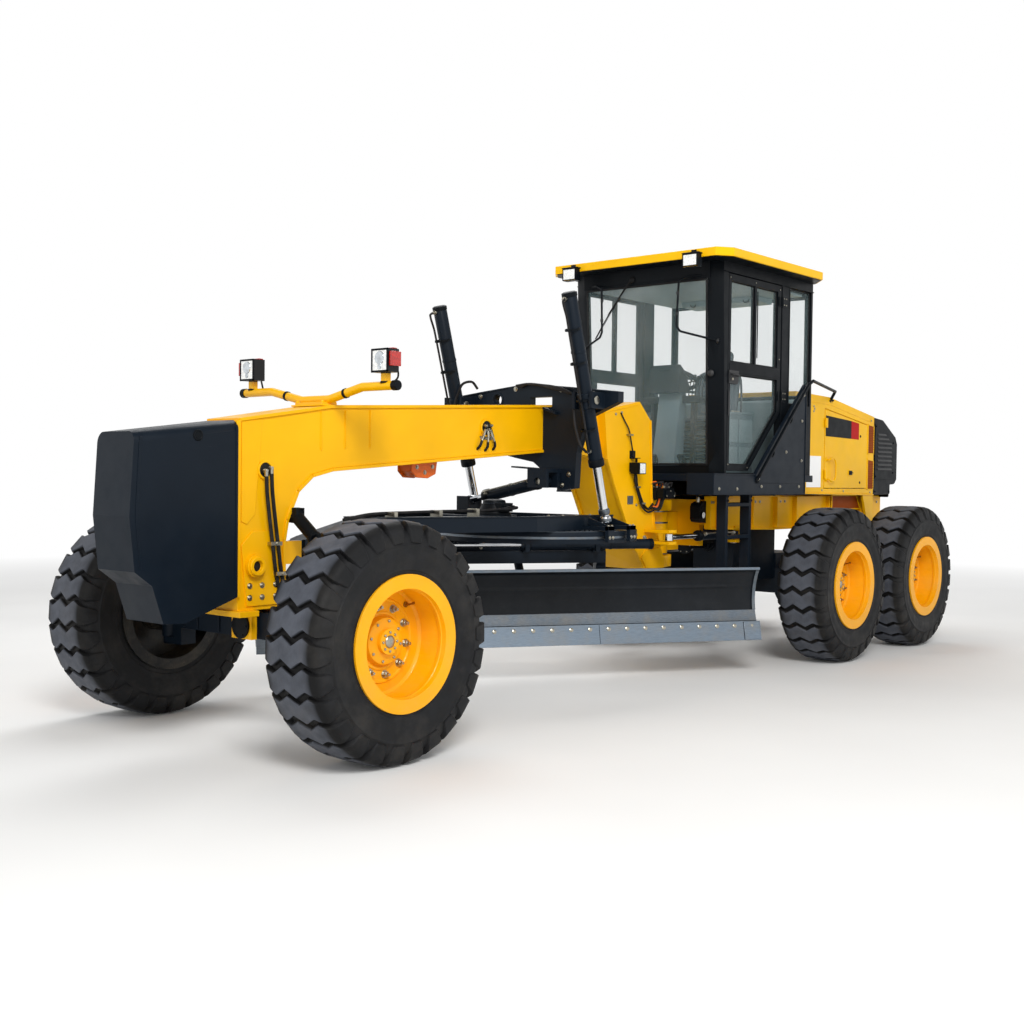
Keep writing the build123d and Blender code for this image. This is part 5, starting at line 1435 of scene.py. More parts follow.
for side, nm in ((1, "left"), (-1, "right")):
    s = side
    body = "engine_door_" + nm
    # blank badge with a red end, edge seal line, D handle, latch
    m = Mesh()
    m.use(0)
    m.prism([(-2.810, 2.196), (-3.352, 2.164), (-3.352, 1.990), (-2.810, 2.000)], s * (HOOD_Y - 0.001), s * (HOOD_Y + 0.004))
    m.use(1)
    m.prism([(-3.352, 2.164), (-3.520, 2.146), (-3.520, 1.986), (-3.352, 1.990)], s * (HOOD_Y - 0.001), s * (HOOD_Y + 0.004))
    piece("blank_badge_" + nm, m, [BLACK, RED], body, 0.0015)
    m = Mesh()
    m.tube([(-2.842, s * HOOD_Y, 1.586), (-2.842, s * (HOOD_Y + 0.030), 1.586), (-2.862, s * (HOOD_Y + 0.033), 1.574), (-2.930, s * (HOOD_Y + 0.033), 1.574), (-2.966, s * (HOOD_Y + 0.033), 1.610),
            (-2.970, s * (HOOD_Y + 0.033), 1.680), (-2.966, s * (HOOD_Y + 0.033), 1.750), (-2.930, s * (HOOD_Y + 0.033), 1.786), (-2.862, s * (HOOD_Y + 0.033), 1.786), (-2.842, s * (HOOD_Y + 0.030), 1.774), (-2.842, s * HOOD_Y, 1.774)], 0.0075, 12, 6)
    for z in (1.586, 1.774):
        m.turn((-2.842, s * HOOD_Y, z), (0, s, 0), [(0.018, -0.001), (0.018, 0.004), (0.012, 0.008), (0.0075, 0.008)], 24)
    piece("door_handle_" + nm, m, YELLOW, body, 0.0)
    m = Mesh()
    m.use(0)
    m.prism([(-3.296, 1.688), (-3.392, 1.688), (-3.392, 1.622), (-3.296, 1.622)], s * (HOOD_Y - 0.001), s * (HOOD_Y + 0.004))
    m.use(1)
    m.prism([(-3.312, 1.676), (-3.376, 1.676), (-3.376, 1.634), (-3.312, 1.634)], s * (HOOD_Y + 0.003), s * (HOOD_Y + 0.010))
    m.turn((-3.332, s * (HOOD_Y + 0.010), 1.655), (0, s, 0), [(0.010, -0.001), (0.010, 0.004), (0.0005, 0.005)], 20)
    m.prism([(-3.350, 1.660), (-3.384, 1.660), (-3.384, 1.650), (-3.350, 1.650)], s * (HOOD_Y + 0.009), s * (HOOD_Y + 0.017))
    for z in (1.560, 2.020):
        m.turn((-3.560, s * HOOD_Y, z), (0, s, 0), [(0.013, -0.001), (0.013, 0.003), (0.007, 0.005), (0.0005, 0.005)], 20)
    piece("door_latch_" + nm, m, [YELLOW, BLACK], body, 0.001)
    m = Mesh()
    outline = [(-2.799, 1.509), (-2.799, 2.2515), (-3.711, 2.1315), (-3.711, 1.509)]
    frame_strip(m, outline, 0.012, s * (HOOD_Y - 0.034), s * (HOOD_Y - 0.029))
    piece("door_seal_" + nm, m, SEAL, body, 0.001)
    m = Mesh()
    frame_strip(m, outline, 0.030, s * (HOOD_Y - 0.032), s * (HOOD_Y - 0.048))
    for x in (-3.02, -3.36):
        m.prism([(x, 1.53), (x - 0.05, 1.53), (x - 0.05, 2.14), (x, 2.14)], s * (HOOD_Y - 0.031), s * (HOOD_Y - 0.045))
    m.prism([(-2.83, 1.80), (-3.68, 1.80), (-3.68, 1.85), (-2.83, 1.85)], s * (HOOD_Y - 0.031), s * (HOOD_Y - 0.044))
    piece("door_inner_frame_" + nm, m, YELLOW, body, 0.002)

m, slats, bolts, dark = Mesh(), Mesh(), Mesh(), Mesh()
for s in (1, -1):
    # blank white plate ahead of the door
    dark.use(1)
    dark.prism([(-2.432, 1.806), (-2.716, 1.806), (-2.716, 1.512), (-2.432, 1.512)], s * (HOOD_Y - 0.001), s * (HOOD_Y + 0.003))
    dark.use(0)
    # louvre panels at the rear corner, slats and backing in brown as painted shade
    for z0, z1 in ((1.486, 1.800), (1.846, 2.150)):
        frame_strip(m, [(-3.728, z0), (-3.728, z1), (-3.870, z1 - 0.012), (-3.870, z0)], 0.011, s * (HOOD_Y - 0.001), s * (HOOD_Y + 0.005))
        dark.prism([(-3.736, z0 + 0.008), (-3.736, z1 - 0.008), (-3.862, z1 - 0.018), (-3.862, z0 + 0.008)], s * (HOOD_Y - 0.0005), s * (HOOD_Y + 0.0012))
        n = int((z1 - z0 - 0.04) / 0.024)
        for i in range(n):
            z = z0 + 0.022 + i * 0.024
            slats.prism([(s * (HOOD_Y + 0.0005), z + 0.016), (s * (HOOD_Y + 0.0075), z + 0.002), (s * (HOOD_Y + 0.0075), z - 0.001), (s * (HOOD_Y + 0.0005), z + 0.010)], -3.742, -3.856, "yz")
    # flange along the foot, seam strip below the roof edge, corner bead
    m.prism([(-2.205, 1.452), (-3.880, 1.430), (-3.880, 1.442), (-2.205, 1.464)], s * (HOOD_Y - 0.030), s * (HOOD_Y + 0.006))
    m.prism([(-2.204, 2.330), (-2.204, 1.470), (-2.232, 1.470), (-2.232, 2.330)], s * (HOOD_Y - 0.001), s * (HOOD_Y + 0.004))
    m.prism([(-2.236, 2.322), (-2.236, 2.314), (-2.90, 2.298), (-3.86, 2.158), (-3.86, 2.166), (-2.90, 2.306)], s * (HOOD_Y - 0.001), s * (HOOD_Y + 0.003))
    for x, z in ((-2.56, 2.27), (-2.56, 2.225), (-2.575, 2.248), (-2.27, 1.50), (-2.27, 1.86), (-2.27, 2.25), (-3.80, 1.462), (-3.80, 2.185), (-2.75, 1.485), (-3.2, 1.475)):
        bolts.hexbolt((x, s * HOOD_Y, z), (0, s, 0), 0.008, 0.006)
    # step-down post and skirt behind the rear wheel
    m.prism([(-3.640, 1.432), (-3.878, 1.432), (-3.878, 1.150), (-3.800, 1.120), (-3.745, 1.180), (-3.690, 1.330)], s * 0.548, s * 0.573)
    m.prism([(-3.745, 1.432), (-3.755, 1.432), (-3.755, 1.180), (-3.745, 1.190)], s * 0.455, s * 0.560)
    # brown panel as painted shade in the recess between the door and the rail
    dark.use(2)
    dark.prism([(-3.110, 1.436), (-3.640, 1.432), (-3.735, 1.296), (-3.110, 1.296)], s * 0.498, s * 0.5025)
    dark.use(0)
    frame_strip(m, [(-3.104, 1.438), (-3.644, 1.436), (-3.742, 1.290), (-3.104, 1.290)], 0.012, s * 0.496, s * 0.506)
    for x in (-3.16, -3.40, -3.62):
        m.prism([(x, 1.30), (x - 0.03, 1.30), (x - 0.03, 1.36), (x, 1.36)], s * 0.440, s * 0.499)
piece("hood_trim", m, YELLOW, "rear_frame", 0.0015)
# louvre slats in brown as painted shade
piece("hood_louvres", slats, SHADE_AND_RUST_BROWN, "rear_frame", 0.0)
piece("hood_panels", dark, [SHADE_AND_RUST_BROWN, WHITE, SHADE_AND_RUST_BROWN], "rear_frame", 0.001)

# roof of the hood: seams, filler cap, lifting eyes, grab bar bases
m = Mesh()


def hood_top(x):
    return 2.392 - (x + 2.2) / -0.7 * 0.020 if x > -2.9 else 2.372 - (-2.9 - x) / 0.98 * 0.144


for x in (-2.52, -3.36):
    m.prism([(-0.552, hood_top(x) - 0.002), (0.552, hood_top(x) - 0.002), (0.552, hood_top(x) + 0.003), (-0.552, hood_top(x) + 0.003)], x, x - 0.014, "yz")
for y in (-0.40, 0.40):
    m.prism([(-2.22, hood_top(-2.22) - 0.002), (-2.90, 2.370), (-3.86, hood_top(-3.86) - 0.002), (-3.86, hood_top(-3.86) + 0.003), (-2.90, 2.375), (-2.22, hood_top(-2.22) + 0.003)], y - 0.007, y + 0.007)
for x, y in ((-2.34, 0.30), (-2.34, -0.30), (-3.70, 0.30), (-3.70, -0.30)):
    m.prism([(x + 0.03, hood_top(x) - 0.004), (x - 0.03, hood_top(x) - 0.004), (x - 0.018, hood_top(x) + 0.014), (x + 0.018, hood_top(x) + 0.014)], y - 0.006, y + 0.006)
piece("hood_top_trim", m, YELLOW, "rear_frame", 0.0012)
m = Mesh()
c = (-2.72, 0.0, hood_top(-2.72))
m.turn(c, (0.02, 0, 1), [(0.072, -0.004), (0.072, 0.006), (0.062, 0.010), (0.058, 0.010), (0.056, 0.026), (0.050, 0.032), (0.0005, 0.034)], 40)
for i in range(10):
    a = 2 * math.pi * i / 10
    m.cyl((c[0] + 0.056 * math.cos(a), c[1] + 0.056 * math.sin(a), c[2] + 0.010), (c[0] + 0.056 * math.cos(a), c[1] + 0.056 * math.sin(a), c[2] + 0.026), 0.006, 10)
piece("filler_cap", m, BLACK, "rear_frame", 0.001)
piece("hood_bolts", bolts, ZINC, "rear_frame", 0.0008)

# ------------------------------------------------------------------ rear shroud: grille, side vents, seams, lamps
m, grid, lamps = Mesh(), Mesh(), Mesh()
for s in (1, -1):
    y = s * 0.570
    # raised side panel, seams and fasteners
    m.prism([(-3.905, 2.160), (-4.095, 2.140), (-4.375, 1.995), (-4.375, 1.640), (-4.30, 1.600), (-3.905, 1.600)], s * 0.569, s * 0.5765)
    m.prism([(-3.890, 1.590), (-4.300, 1.590), (-4.300, 1.582), (-3.890, 1.582)], s * 0.569, s * 0.574)
    for k in range(9):
        z = 1.690 + k * 0.044
        grid.prism([(s * 0.5755, z + 0.022), (s * 0.5845, z + 0.004), (s * 0.5845, z), (s * 0.5755, z + 0.012)], -3.965, -4.300 + max(0, k - 6) * 0.07, "yz")
    for x, z in ((-3.925, 2.135), (-3.925, 1.625), (-4.345, 1.665), (-4.345, 1.975), (-3.93, 1.47), (-4.27, 1.47)):
        m.hexbolt((x, s * 0.5765 if z > 1.6 else y, z), (0, s, 0), 0.008, 0.006)
for y0, y1 in ((-0.500, -0.470), (0.470, 0.500)):
    m.prism([(-4.453, 1.985), (-4.461, 1.985), (-4.461, 1.600), (-4.453, 1.600)], y0, y1)
for z0, z1 in ((1.960, 1.985), (1.600, 1.625)):
    m.prism([(-4.453, z1), (-4.461, z1), (-4.461, z0), (-4.453, z0)], -0.500, 0.500)
for k in range(13):
    z = 1.634 + k * 0.025
    grid.prism([(-4.453, z + 0.018), (-4.462, z + 0.002), (-4.462, z - 0.001), (-4.453, z + 0.010)], -0.470, 0.470)
for y in (-0.235, 0.0, 0.235):
    m.box((-4.4625, y - 0.006, 1.625), (-4.453, y + 0.006, 1.960))
for k in range(7):
    f = (k + 1) / 8.0
    x, z = -4.110 - 0.310 * f, 2.205 - 0.165 * f
    grid.prism([(x + 0.020, z + 0.012), (x - 0.012, z - 0.003), (x - 0.010, z + 0.008), (x + 0.016, z + 0.021)], -0.44, 0.44)
m.box((-4.452, -0.10, 1.548), (-4.385, 0.10, 1.592))
piece("rear_shroud_panels", m, BLACK, "rear_frame", 0.002)
piece("rear_grille", grid, PLASTIC, "rear_frame", 0.0)
for s in (1, -1):
    lamps.use(0)
    lamps.prism([(-4.300, 1.520), (-4.322, 1.512), (-4.322, 1.418), (-4.300, 1.410)], s * 0.365, s * 0.545)
    lamps.use(1)
    lamps.turn((-4.322, s * 0.500, 1.465), (-1, 0, 0), [(0.034, -0.001), (0.034, 0.006), (0.026, 0.013), (0.0005, 0.016)], 30)
    lamps.use(2)
    lamps.turn((-4.322, s * 0.412, 1.465), (-1, 0, 0), [(0.034, -0.001), (0.034, 0.006), (0.026, 0.013), (0.0005, 0.016)], 30)
piece("tail_lamps", lamps, [BLACK, LENS_RED, LENS_AMBER], "rear_frame", 0.0015)

# ------------------------------------------------------------------ engine, seen with its doors open
m = Mesh()
m.use(0)
for s in (1, -1):
    y = s * 0.330
    # crankcase ribs, rail, head joints
    for k in range(6):
        x = -2.86 - k * 0.145
        m.prism([(x, 1.46), (x - 0.020, 1.46), (x - 0.020, 1.80), (x, 1.80)], y - s * 0.002, y + s * 0.022)
        m.prism([(x - 0.025, 1.835), (x - 0.125, 1.835), (x - 0.125, 2.020), (x - 0.025, 2.020)], y - s * 0.002, y + s * 0.030)
    m.prism([(-2.70, 1.800), (-3.80, 1.800), (-3.80, 1.822), (-2.70, 1.822)], y - s * 0.002, y + s * 0.036)
    m.prism([(-2.70, 1.440), (-3.80, 1.440), (-3.80, 1.470), (-2.70, 1.470)], y - s * 0.002, y + s * 0.040)
for k in range(6):
    x = -2.90 - k * 0.145
    m.prism([(-0.12, 2.055), (0.12, 2.055), (0.10, 2.120), (0.06, 2.135), (-0.06, 2.135), (-0.10, 2.120)], x + 0.060, x - 0.060, "yz")
m.use(1)
# exhaust manifold and turbocharger on the left, inlet manifold on the right
for k in range(6):
    x = -2.92 - k * 0.145
    m.tube([(x, 0.355, 1.930), (x, 0.405, 1.930), (x - 0.02, 0.425, 1.900)], 0.024, 12, 6)
m.tube([(-2.88, 0.430, 1.895), (-3.20, 0.432, 1.890), (-3.68, 0.430, 1.895)], 0.034, 16, 4)
m.turn((-3.30, 0.440, 1.790), (1, 0, 0), [(0.030, -0.115), (0.085, -0.100), (0.095, -0.060), (0.060, -0.030), (0.048, 0.020), (0.085, 0.040), (0.090, 0.080), (0.045, 0.105)], 36)
m.use(0)
m.tube([(-2.86, -0.400, 1.930), (-3.25, -0.402, 1.930), (-3.72, -0.400, 1.930)], 0.042, 18, 4)
for k in range(6):
    x = -2.92 - k * 0.145
    m.tube([(x, -0.350, 1.930), (x, -0.400, 1.930)], 0.026, 14)
m.use(2)
for x, y, z in ((-3.02, 0.420, 1.585), (-3.16, 0.420, 1.585), (-3.50, -0.420, 1.600), (-3.64, -0.420, 1.600)):
    m.turn((x, y, z), (0, 0, 1), [(0.046, -0.085), (0.052, -0.075), (0.052, 0.060), (0.044, 0.072), (0.040, 0.090), (0.0005, 0.092)], 30)
m.turn((-2.90, 0.400, 1.62), (1, 0, 0), [(0.020, -0.09), (0.062, -0.08), (0.066, -0.02), (0.062, 0.05), (0.040, 0.065), (0.040, 0.085), (0.0005, 0.088)], 30)
m.turn((-2.90, -0.400, 1.62), (1, 0, 0), [(0.020, -0.09), (0.055, -0.08), (0.058, -0.02), (0.055, 0.05), (0.040, 0.065), (0.040, 0.085), (0.0005, 0.088)], 30)
m.tube([(-2.86, 0.36, 1.50), (-3.0, 0.40, 1.49), (-3.3, 0.41, 1.50), (-3.6, 0.39, 1.56), (-3.75, 0.36, 1.66)], 0.014, 10, 6)
m.tube([(-2.86, -0.36, 1.74), (-3.1, -0.385, 1.73), (-3.4, -0.385, 1.74), (-3.7, -0.36, 1.78)], 0.012, 10, 6)
piece("engine_fittings", m, [STEEL, SHADE_AND_RUST_BROWN, BLACK], "rear_frame", 0.002)
m = Mesh()
for s in (1, -1):
    for k in range(6):
        x = -2.905 - k * 0.145
        m.hexbolt((x - 0.03, s * 0.360, 1.855), (0, s, 0), 0.009, 0.007)
        m.hexbolt((x - 0.03, s * 0.360, 2.000), (0, s, 0), 0.009, 0.007)
        m.hexbolt((x, s * 0.090, 2.118), (0, 0, 1), 0.008, 0.006)
piece("engine_bolts", m, ZINC, "rear_frame", 0)


# ------------------------------------------------------------------ cab: glass seals, header, roof
def ws_x(z):
    """Front face of the windscreen at height z."""
    return -0.669 + (z - 1.692) / 1.518 * 0.071


m = Mesh()
outline = [(ws_x(1.700) + 0.003, 0.590, 1.700), (ws_x(3.204) + 0.003, 0.607, 3.204), (ws_x(3.204) + 0.003, -0.607, 3.204), (ws_x(1.700) + 0.003, -0.590, 1.700)]
for i in range(4):
    m.tube([outline[i], outline[(i + 1) % 4]], 0.0085, 10)
for s in (1, -1):
    # rear quarter glass and door post beads
    q = [(-1.754, 2.247), (-1.754, 3.255), (-2.136, 3.255), (-2.136, 2.247)]
    for i in range(4):
        a, b = q[i], q[(i + 1) % 4]
        m.tube([(a[0], s * 0.724, a[1]), (b[0], s * 0.724, b[1])], 0.007, 8)
q = [(-0.680, 2.338), (0.680, 2.338), (0.680, 3.212), (-0.680, 3.212)]
for i in range(4):
    a, b = q[i], q[(i + 1) % 4]
    m.tube([(-2.154, a[0], a[1]), (-2.154, b[0], b[1])], 0.007, 8)
piece("cab_glass_seals", m, SEAL, "rear_frame", smooth=50)

m = Mesh()
m.use(0)
for s in (1, -1):
    # drip rail, door gap lining, kick plate, hinge reinforcement
    m.prism([(-0.640, 3.262), (-2.168, 3.262), (-2.168, 3.270), (-0.640, 3.270)], s * 0.744, s * 0.757)
    m.prism([(-1.604, 1.66), (-1.612, 1.66), (-1.612, 3.255), (-1.604, 3.255)], s * 0.744, s * 0.749)
    m.prism([(-1.736, 2.255), (-1.746, 2.255), (-1.746, 3.255), (-1.736, 3.255)], s * 0.744, s * 0.749)
    m.prism([(-1.606, 2.25), (-1.680, 2.25), (-1.680, 2.36), (-1.606, 2.36)], s * 0.744, s * 0.751)
    m.prism([(-1.606, 3.07), (-1.680, 3.07), (-1.680, 3.175), (-1.606, 3.175)], s * 0.744, s * 0.751)
m.prism([(-0.600, 3.226), (0.600, 3.226), (0.600, 3.232), (-0.600, 3.232)], -0.594, -0.586, "yz")
piece("cab_frame_trim", m, BLACK, "rear_frame", 0.0015)
m = Mesh()
for s in (1, -1):
    for x, z in ((-1.625, 2.28), (-1.665, 2.28), (-1.625, 2.33), (-1.665, 2.33), (-1.625, 3.095), (-1.665, 3.095), (-1.625, 3.15), (-1.665, 3.15)):
        m.hexbolt((x, s * 0.751, z), (0, s, 0), 0.007, 0.005, False)
    for x, z in ((-1.20, 1.52), (-1.52, 1.52), (-1.86, 1.52), (-1.90, 1.75), (-1.90, 2.10), (-1.93, 2.33), (-1.62, 1.82), (-1.15, 1.58), (-0.52, 1.50), (-0.80, 1.50)):
        m.hexbolt((x, s * 0.800, z), (0, s, 0), 0.010, 0.008)
piece("cab_bolts", m, ZINC, "rear_frame", 0.0008)
m = Mesh()
for s in (1, -1):
    # folded edges of the deck's side plates, step plate in front of the door
    m.prism([(-0.442, 1.452), (-1.973, 1.452), (-1.973, 1.462), (-0.442, 1.462)], s * 0.790, s * 0.806)
    m.prism([(-1.093, 1.621), (-1.942, 2.421), (-1.948, 2.414), (-1.100, 1.613)], s * 0.790, s * 0.806)
    m.prism([(-0.442, 1.622), (-1.090, 1.622), (-1.090, 1.613), (-0.442, 1.613)], s * 0.790, s * 0.806)
    m.prism([(-1.964, 2.420), (-1.973, 2.420), (-1.973, 1.455), (-1.964, 1.455)], s * 0.790, s * 0.806)
    m.prism([(-1.10, 1.545), (-1.90, 1.545), (-1.90, 1.553), (-1.10, 1.553)], s * 0.799, s * 0.804)
piece("deck_edges", m, SLATE, "rear_frame", 0.0015)
m = Mesh()
for s in (1, -1):
    for i in range(6):
        for j in range(4):
            x, y = -0.475 - i * 0.030, 0.570 + j * 0.052 + (i % 2) * 0.026
            if y < 0.765:
                m.turn((x, s * y, 1.620), (0, 0, 1), [(0.013, -0.001), (0.011, 0.0035), (0.0005, 0.004)], 12)
piece("deck_treads", m, STEEL, "rear_frame", 0)

# roof: dark underside, raised panel, lip, lamp housings and lenses
m = Mesh()
m.prism([(-0.405, 0.795), (-0.530, 0.890), (-2.030, 0.890), (-2.195, 0.752), (-2.195, -0.752), (-2.030, -0.890), (-0.530, -0.890), (-0.405, -0.795)], 3.3445, 3.3498, "xy")
for s in (1, -1):
    m.prism([(-0.330, s * 0.532), (-0.402, s * 0.532), (-0.402, s * 0.688), (-0.330, s * 0.688)], 3.374, 3.384, "xy")
    m.box((-0.3945, s * 0.585, 3.372), (-0.3905, s * 0.635, 3.412))
    m.prism([(-0.3395, 3.2705), (-0.3395, 3.3755), (-0.392, 3.3755), (-0.402, 3.330), (-0.402, 3.2705)], s * 0.5385, s * 0.6815)
    for k in range(4):
        m.box((-0.4045, s * 0.552, 3.282 + k * 0.014), (-0.4005, s * 0.668, 3.288 + k * 0.014))
piece("roof_underside", m, BLACK, "rear_frame", 0.002)
m = Mesh()
m.use(0)
for s in (1, -1):
    y0, y1 = s * 0.548, s * 0.672
    m.box((-0.3400, y0, 3.280), (-0.3320, y1, 3.366))
m.use(1)
for s in (1, -1):
    for z0, z1, ya, yb in ((3.2735, 3.281, 0.5395, 0.6805), (3.365, 3.3725, 0.5395, 0.6805), (3.2735, 3.3725, 0.5395, 0.5485), (3.2735, 3.3725, 0.6715, 0.6805)):
        m.box((-0.3400, s * ya, z0), (-0.3285, s * yb, z1))
piece("cab_lamps", m, [LENS, BLACK], "rear_frame", 0.0015)
m = Mesh()
m.prism([(-0.62, 0.66), (-0.70, 0.74), (-1.90, 0.74), (-2.02, 0.64), (-2.02, -0.64), (-1.90, -0.74), (-0.70, -0.74), (-0.62, -0.66)], 3.4150, 3.4192, "xy")
for y in (-0.44, -0.15, 0.15, 0.44):
    m.prism([(y - 0.035, 3.418), (y + 0.035, 3.418), (y + 0.022, 3.4225), (y - 0.022, 3.4225)], -0.72, -1.92, "yz")
piece("roof_panel", m, YELLOW, "rear_frame", 0.003)

# wiper: motor cap, two-bar arm and blade on the windscreen
m = Mesh()
m.turn((-0.590, -0.125, 3.262), (1, 0, 0.04), [(0.026, -0.004), (0.026, 0.010), (0.016, 0.016), (0.0005, 0.017)], 28)
p0 = V(-0.576, -0.125, 3.262)
p1 = V(ws_x(2.98) + 0.026, -0.372, 2.98)
m.tube([p0, p0.lerp(p1, 0.2) + V(0.012, 0, 0), p0.lerp(p1, 0.8) + V(0.004, 0, 0), p1], 0.0060, 8, 4)
m.tube([p0 + V(0, 0.018, -0.004), p0.lerp(p1, 0.3) + V(0.012, 0.012, 0), p1], 0.0032, 8, 4)
a, b = V(ws_x(3.13) + 0.013, -0.255, 3.130), V(ws_x(2.79) + 0.013, -0.520, 2.790)
m.tube([a, a.lerp(b, 0.5) + V(0.008, 0, 0), b], 0.0050, 8, 6)
m.rings([[a + V(-0.004, 0.003, 0.003), a + V(-0.004, -0.003, -0.003), a + V(-0.011, -0.001, -0.001), a + V(-0.011, 0.001, 0.001)],
         [b + V(-0.004, 0.003, 0.003), b + V(-0.004, -0.003, -0.003), b + V(-0.011, -0.001, -0.001), b + V(-0.011, 0.001, 0.001)]])
piece("windscreen_wiper", m, SEAL, "rear_frame", smooth=50)
m = Mesh()
for s in (1, -1):
    m.turn((-0.640, s * 0.625, 3.240), (0.9, -s * 1.5, 0), [(0.018, 0.02), (0.018, 0.034), (0.010, 0.040)], 20)
    m.turn((-0.645, s * 0.699, 2.700), (0.4, -s * 1, 0.25), [(0.022, -0.004), (0.022, 0.010), (0.010, 0.020)], 20)
    for z in (3.10, 2.93):
        m.turn((-0.509, s * 0.384, z), (0, 0, 1), [(0.0095, -0.012), (0.0135, -0.010), (0.0135, 0.010), (0.0095, 0.012)], 16)
    # knobs of the side window catches, seen through the screen's edge
    m.turn((-0.640, s * 0.640, 2.440), (0.7, s * 0.2, 0), [(0.012, 0.0), (0.012, 0.016), (0.026, 0.020), (0.028, 0.034), (0.018, 0.042), (0.0005, 0.043)], 24)
piece("bracket_clamps", m, PLASTIC, "rear_frame", 0.0008)

# ------------------------------------------------------------------ doors
for s, nm in ((1, "left"), (-1, "right")):
    body = "door_" + nm
    m = Mesh()
    y = s * 0.722
    loops = [[(-0.760, 2.547), (-0.760, 3.198), (-1.144, 3.198), (-1.144, 2.547)], [(-1.178, 2.547), (-1.178, 3.198), (-1.533, 3.198), (-1.533, 2.547)],
             [(-0.760, 1.702), (-0.760, 2.438), (-1.533, 2.438), (-1.533, 2.169), (-1.057, 1.702)]]
    for q in loops:
        for i in range(len(q)):
            a, b = q[i], q[(i + 1) % len(q)]
            m.tube([(a[0], y, a[1]), (b[0], y, b[1])], 0.0065, 8)
    edge = [(-0.724, 1.654), (-0.724, 3.251), (-1.586, 3.251), (-1.586, 2.162), (-1.108, 1.696), (-1.060, 1.654)]
    for i in range(len(edge)):
        a, b = edge[i], edge[(i + 1) % len(edge)]
        m.tube([(a[0], s * 0.700, a[1]), (b[0], s * 0.700, b[1])], 0.006, 8)
    piece("door_seals_" + nm, m, SEAL, body, smooth=50)
    m = Mesh()
    m.use(0)
    # lock box with its grip, inner handle and pull bar
    m.prism([(-0.728, 2.362), (-0.728, 2.470), (-0.880, 2.470), (-0.880, 2.385), (-0.862, 2.362)], s * 0.700, s * 0.754)
    m.prism([(-0.742, 2.382), (-0.742, 2.452), (-0.862, 2.452), (-0.862, 2.382)], s * 0.753, s * 0.757)
    m.tube([(-0.756, s * 0.755, 2.436), (-0.758, s * 0.778, 2.434), (-0.800, s * 0.783, 2.432), (-0.842, s * 0.778, 2.430), (-0.846, s * 0.755, 2.430)], 0.0075, 10, 6)
    m.tube([(-0.745, s * 0.700, 2.10), (-0.745, s * 0.660, 2.11), (-0.748, s * 0.652, 2.25), (-0.748, s * 0.660, 2.34), (-0.745, s * 0.700, 2.35)], 0.009, 10, 6)
    m.box((-0.728, s * 0.7445, 2.10), (-0.752, s * 0.750, 2.30))
    m.use(1)
    m.turn((-0.775, s * 0.757, 2.400), (0, s, 0), [(0.012, -0.001), (0.012, 0.004), (0.0085, 0.006), (0.0005, 0.006)], 22)
    m.box((-0.776, s * 0.7628, 2.396), (-0.774, s * 0.7636, 2.404))
    for x, z in ((-0.738, 1.70), (-1.05, 1.676), (-1.565, 2.30), (-1.565, 2.62), (-1.565, 3.22), (-0.738, 3.225), (-1.150, 3.228)):
        m.hexbolt((x, s * 0.745, z), (0, s, 0), 0.006, 0.004, False)
    piece("door_lock_" + nm, m, [PLASTIC, ZINC], body, 0.0015)
    m = Mesh()
    m.prism([(-0.740, 2.455), (-0.740, 2.530), (-1.572, 2.530), (-1.572, 2.455)], s * 0.744, s * 0.748)
    m.tube([(-1.186, s * 0.744, 2.60), (-1.186, s * 0.744, 3.16)], 0.005, 8)
    piece("door_rail_" + nm, m, BLACK, body, 0.0015)

# ------------------------------------------------------------------ inside the cab
m = Mesh()
m.use(0)
m.prism([(-0.740, 0.66), (-2.120, 0.66), (-2.120, -0.66), (-0.740, -0.66)], 1.6205, 1.630, "xy")
for i in range(22):
    x = -0.78 - i * 0.058
    m.prism([(x, 0.62), (x - 0.022, 0.62), (x - 0.022, -0.62), (x, -0.62)], 1.6295, 1.6335, "xy")
piece("cab_floor_mat", m, FLOORMAT, "rear_frame", 0.001)
m = Mesh()
m.use(0)
# headliner, rear wall lining and air vents
m.prism([(-0.672, 0.62), (-0.70, 0.68), (-2.09, 0.68), (-2.09, -0.68), (-0.70, -0.68), (-0.672, -0.62)], 3.225, 3.245, "xy")
m.prism([(-2.128, 1.64), (-2.110, 1.64), (-2.104, 2.29), (-2.128, 2.31)], -0.670, 0.670)
m.prism([(-2.06, 3.222), (-1.78, 3.222), (-1.80, 3.180), (-2.04, 3.172)], -0.40, 0.40)
m.use(1)
for y in (-0.28, -0.10, 0.10, 0.28):
    m.ring((-1.796, y, 3.200), (1, 0, 0.3), 0.032, 0.006, 0.014, 24)
    for k in (-1, 0, 1):
        m.box((-1.800, y - 0.026, 3.198 + k * 0.012), (-1.792, y + 0.026, 3.201 + k * 0.012))
piece("cab_lining", m, [TRIM, PLASTIC], "rear_frame", 0.003)
m = Mesh()
m.use(0)
# steering column boot, gauge pod, wheel grip and hub
m.turn((-1.030, 0, 1.640), (0.0, 0, 1), [(0.130, -0.01), (0.120, 0.02), (0.108, 0.03), (0.104, 0.05), (0.092, 0.06), (0.088, 0.09)], 32)
m.prism([(-0.905, 2.320), (-0.905, 2.520), (-0.930, 2.560), (-1.010, 2.500), (-1.075, 2.385), (-1.060, 2.320)], -0.150, 0.150)
T = Matrix.Translation((-1.090, 0, 2.450)) @ Matrix.Rotation(math.radians(-22), 4, "Y")
grip = Mesh()
grip.torus((0, 0, 0), (0, 0, 1), 0.190, 0.0185, 60, 12)
for k in range(30):
    a = 2 * math.pi * k / 30
    grip.torus((0.190 * math.cos(a), 0.190 * math.sin(a), 0), (-math.sin(a), math.cos(a), 0), 0.0178, 0.0022, 12, 6)
grip.turn((0, 0, 0), (0, 0, 1), [(0.060, 0.008), (0.058, 0.022), (0.046, 0.030), (0.0005, 0.033)], 36)
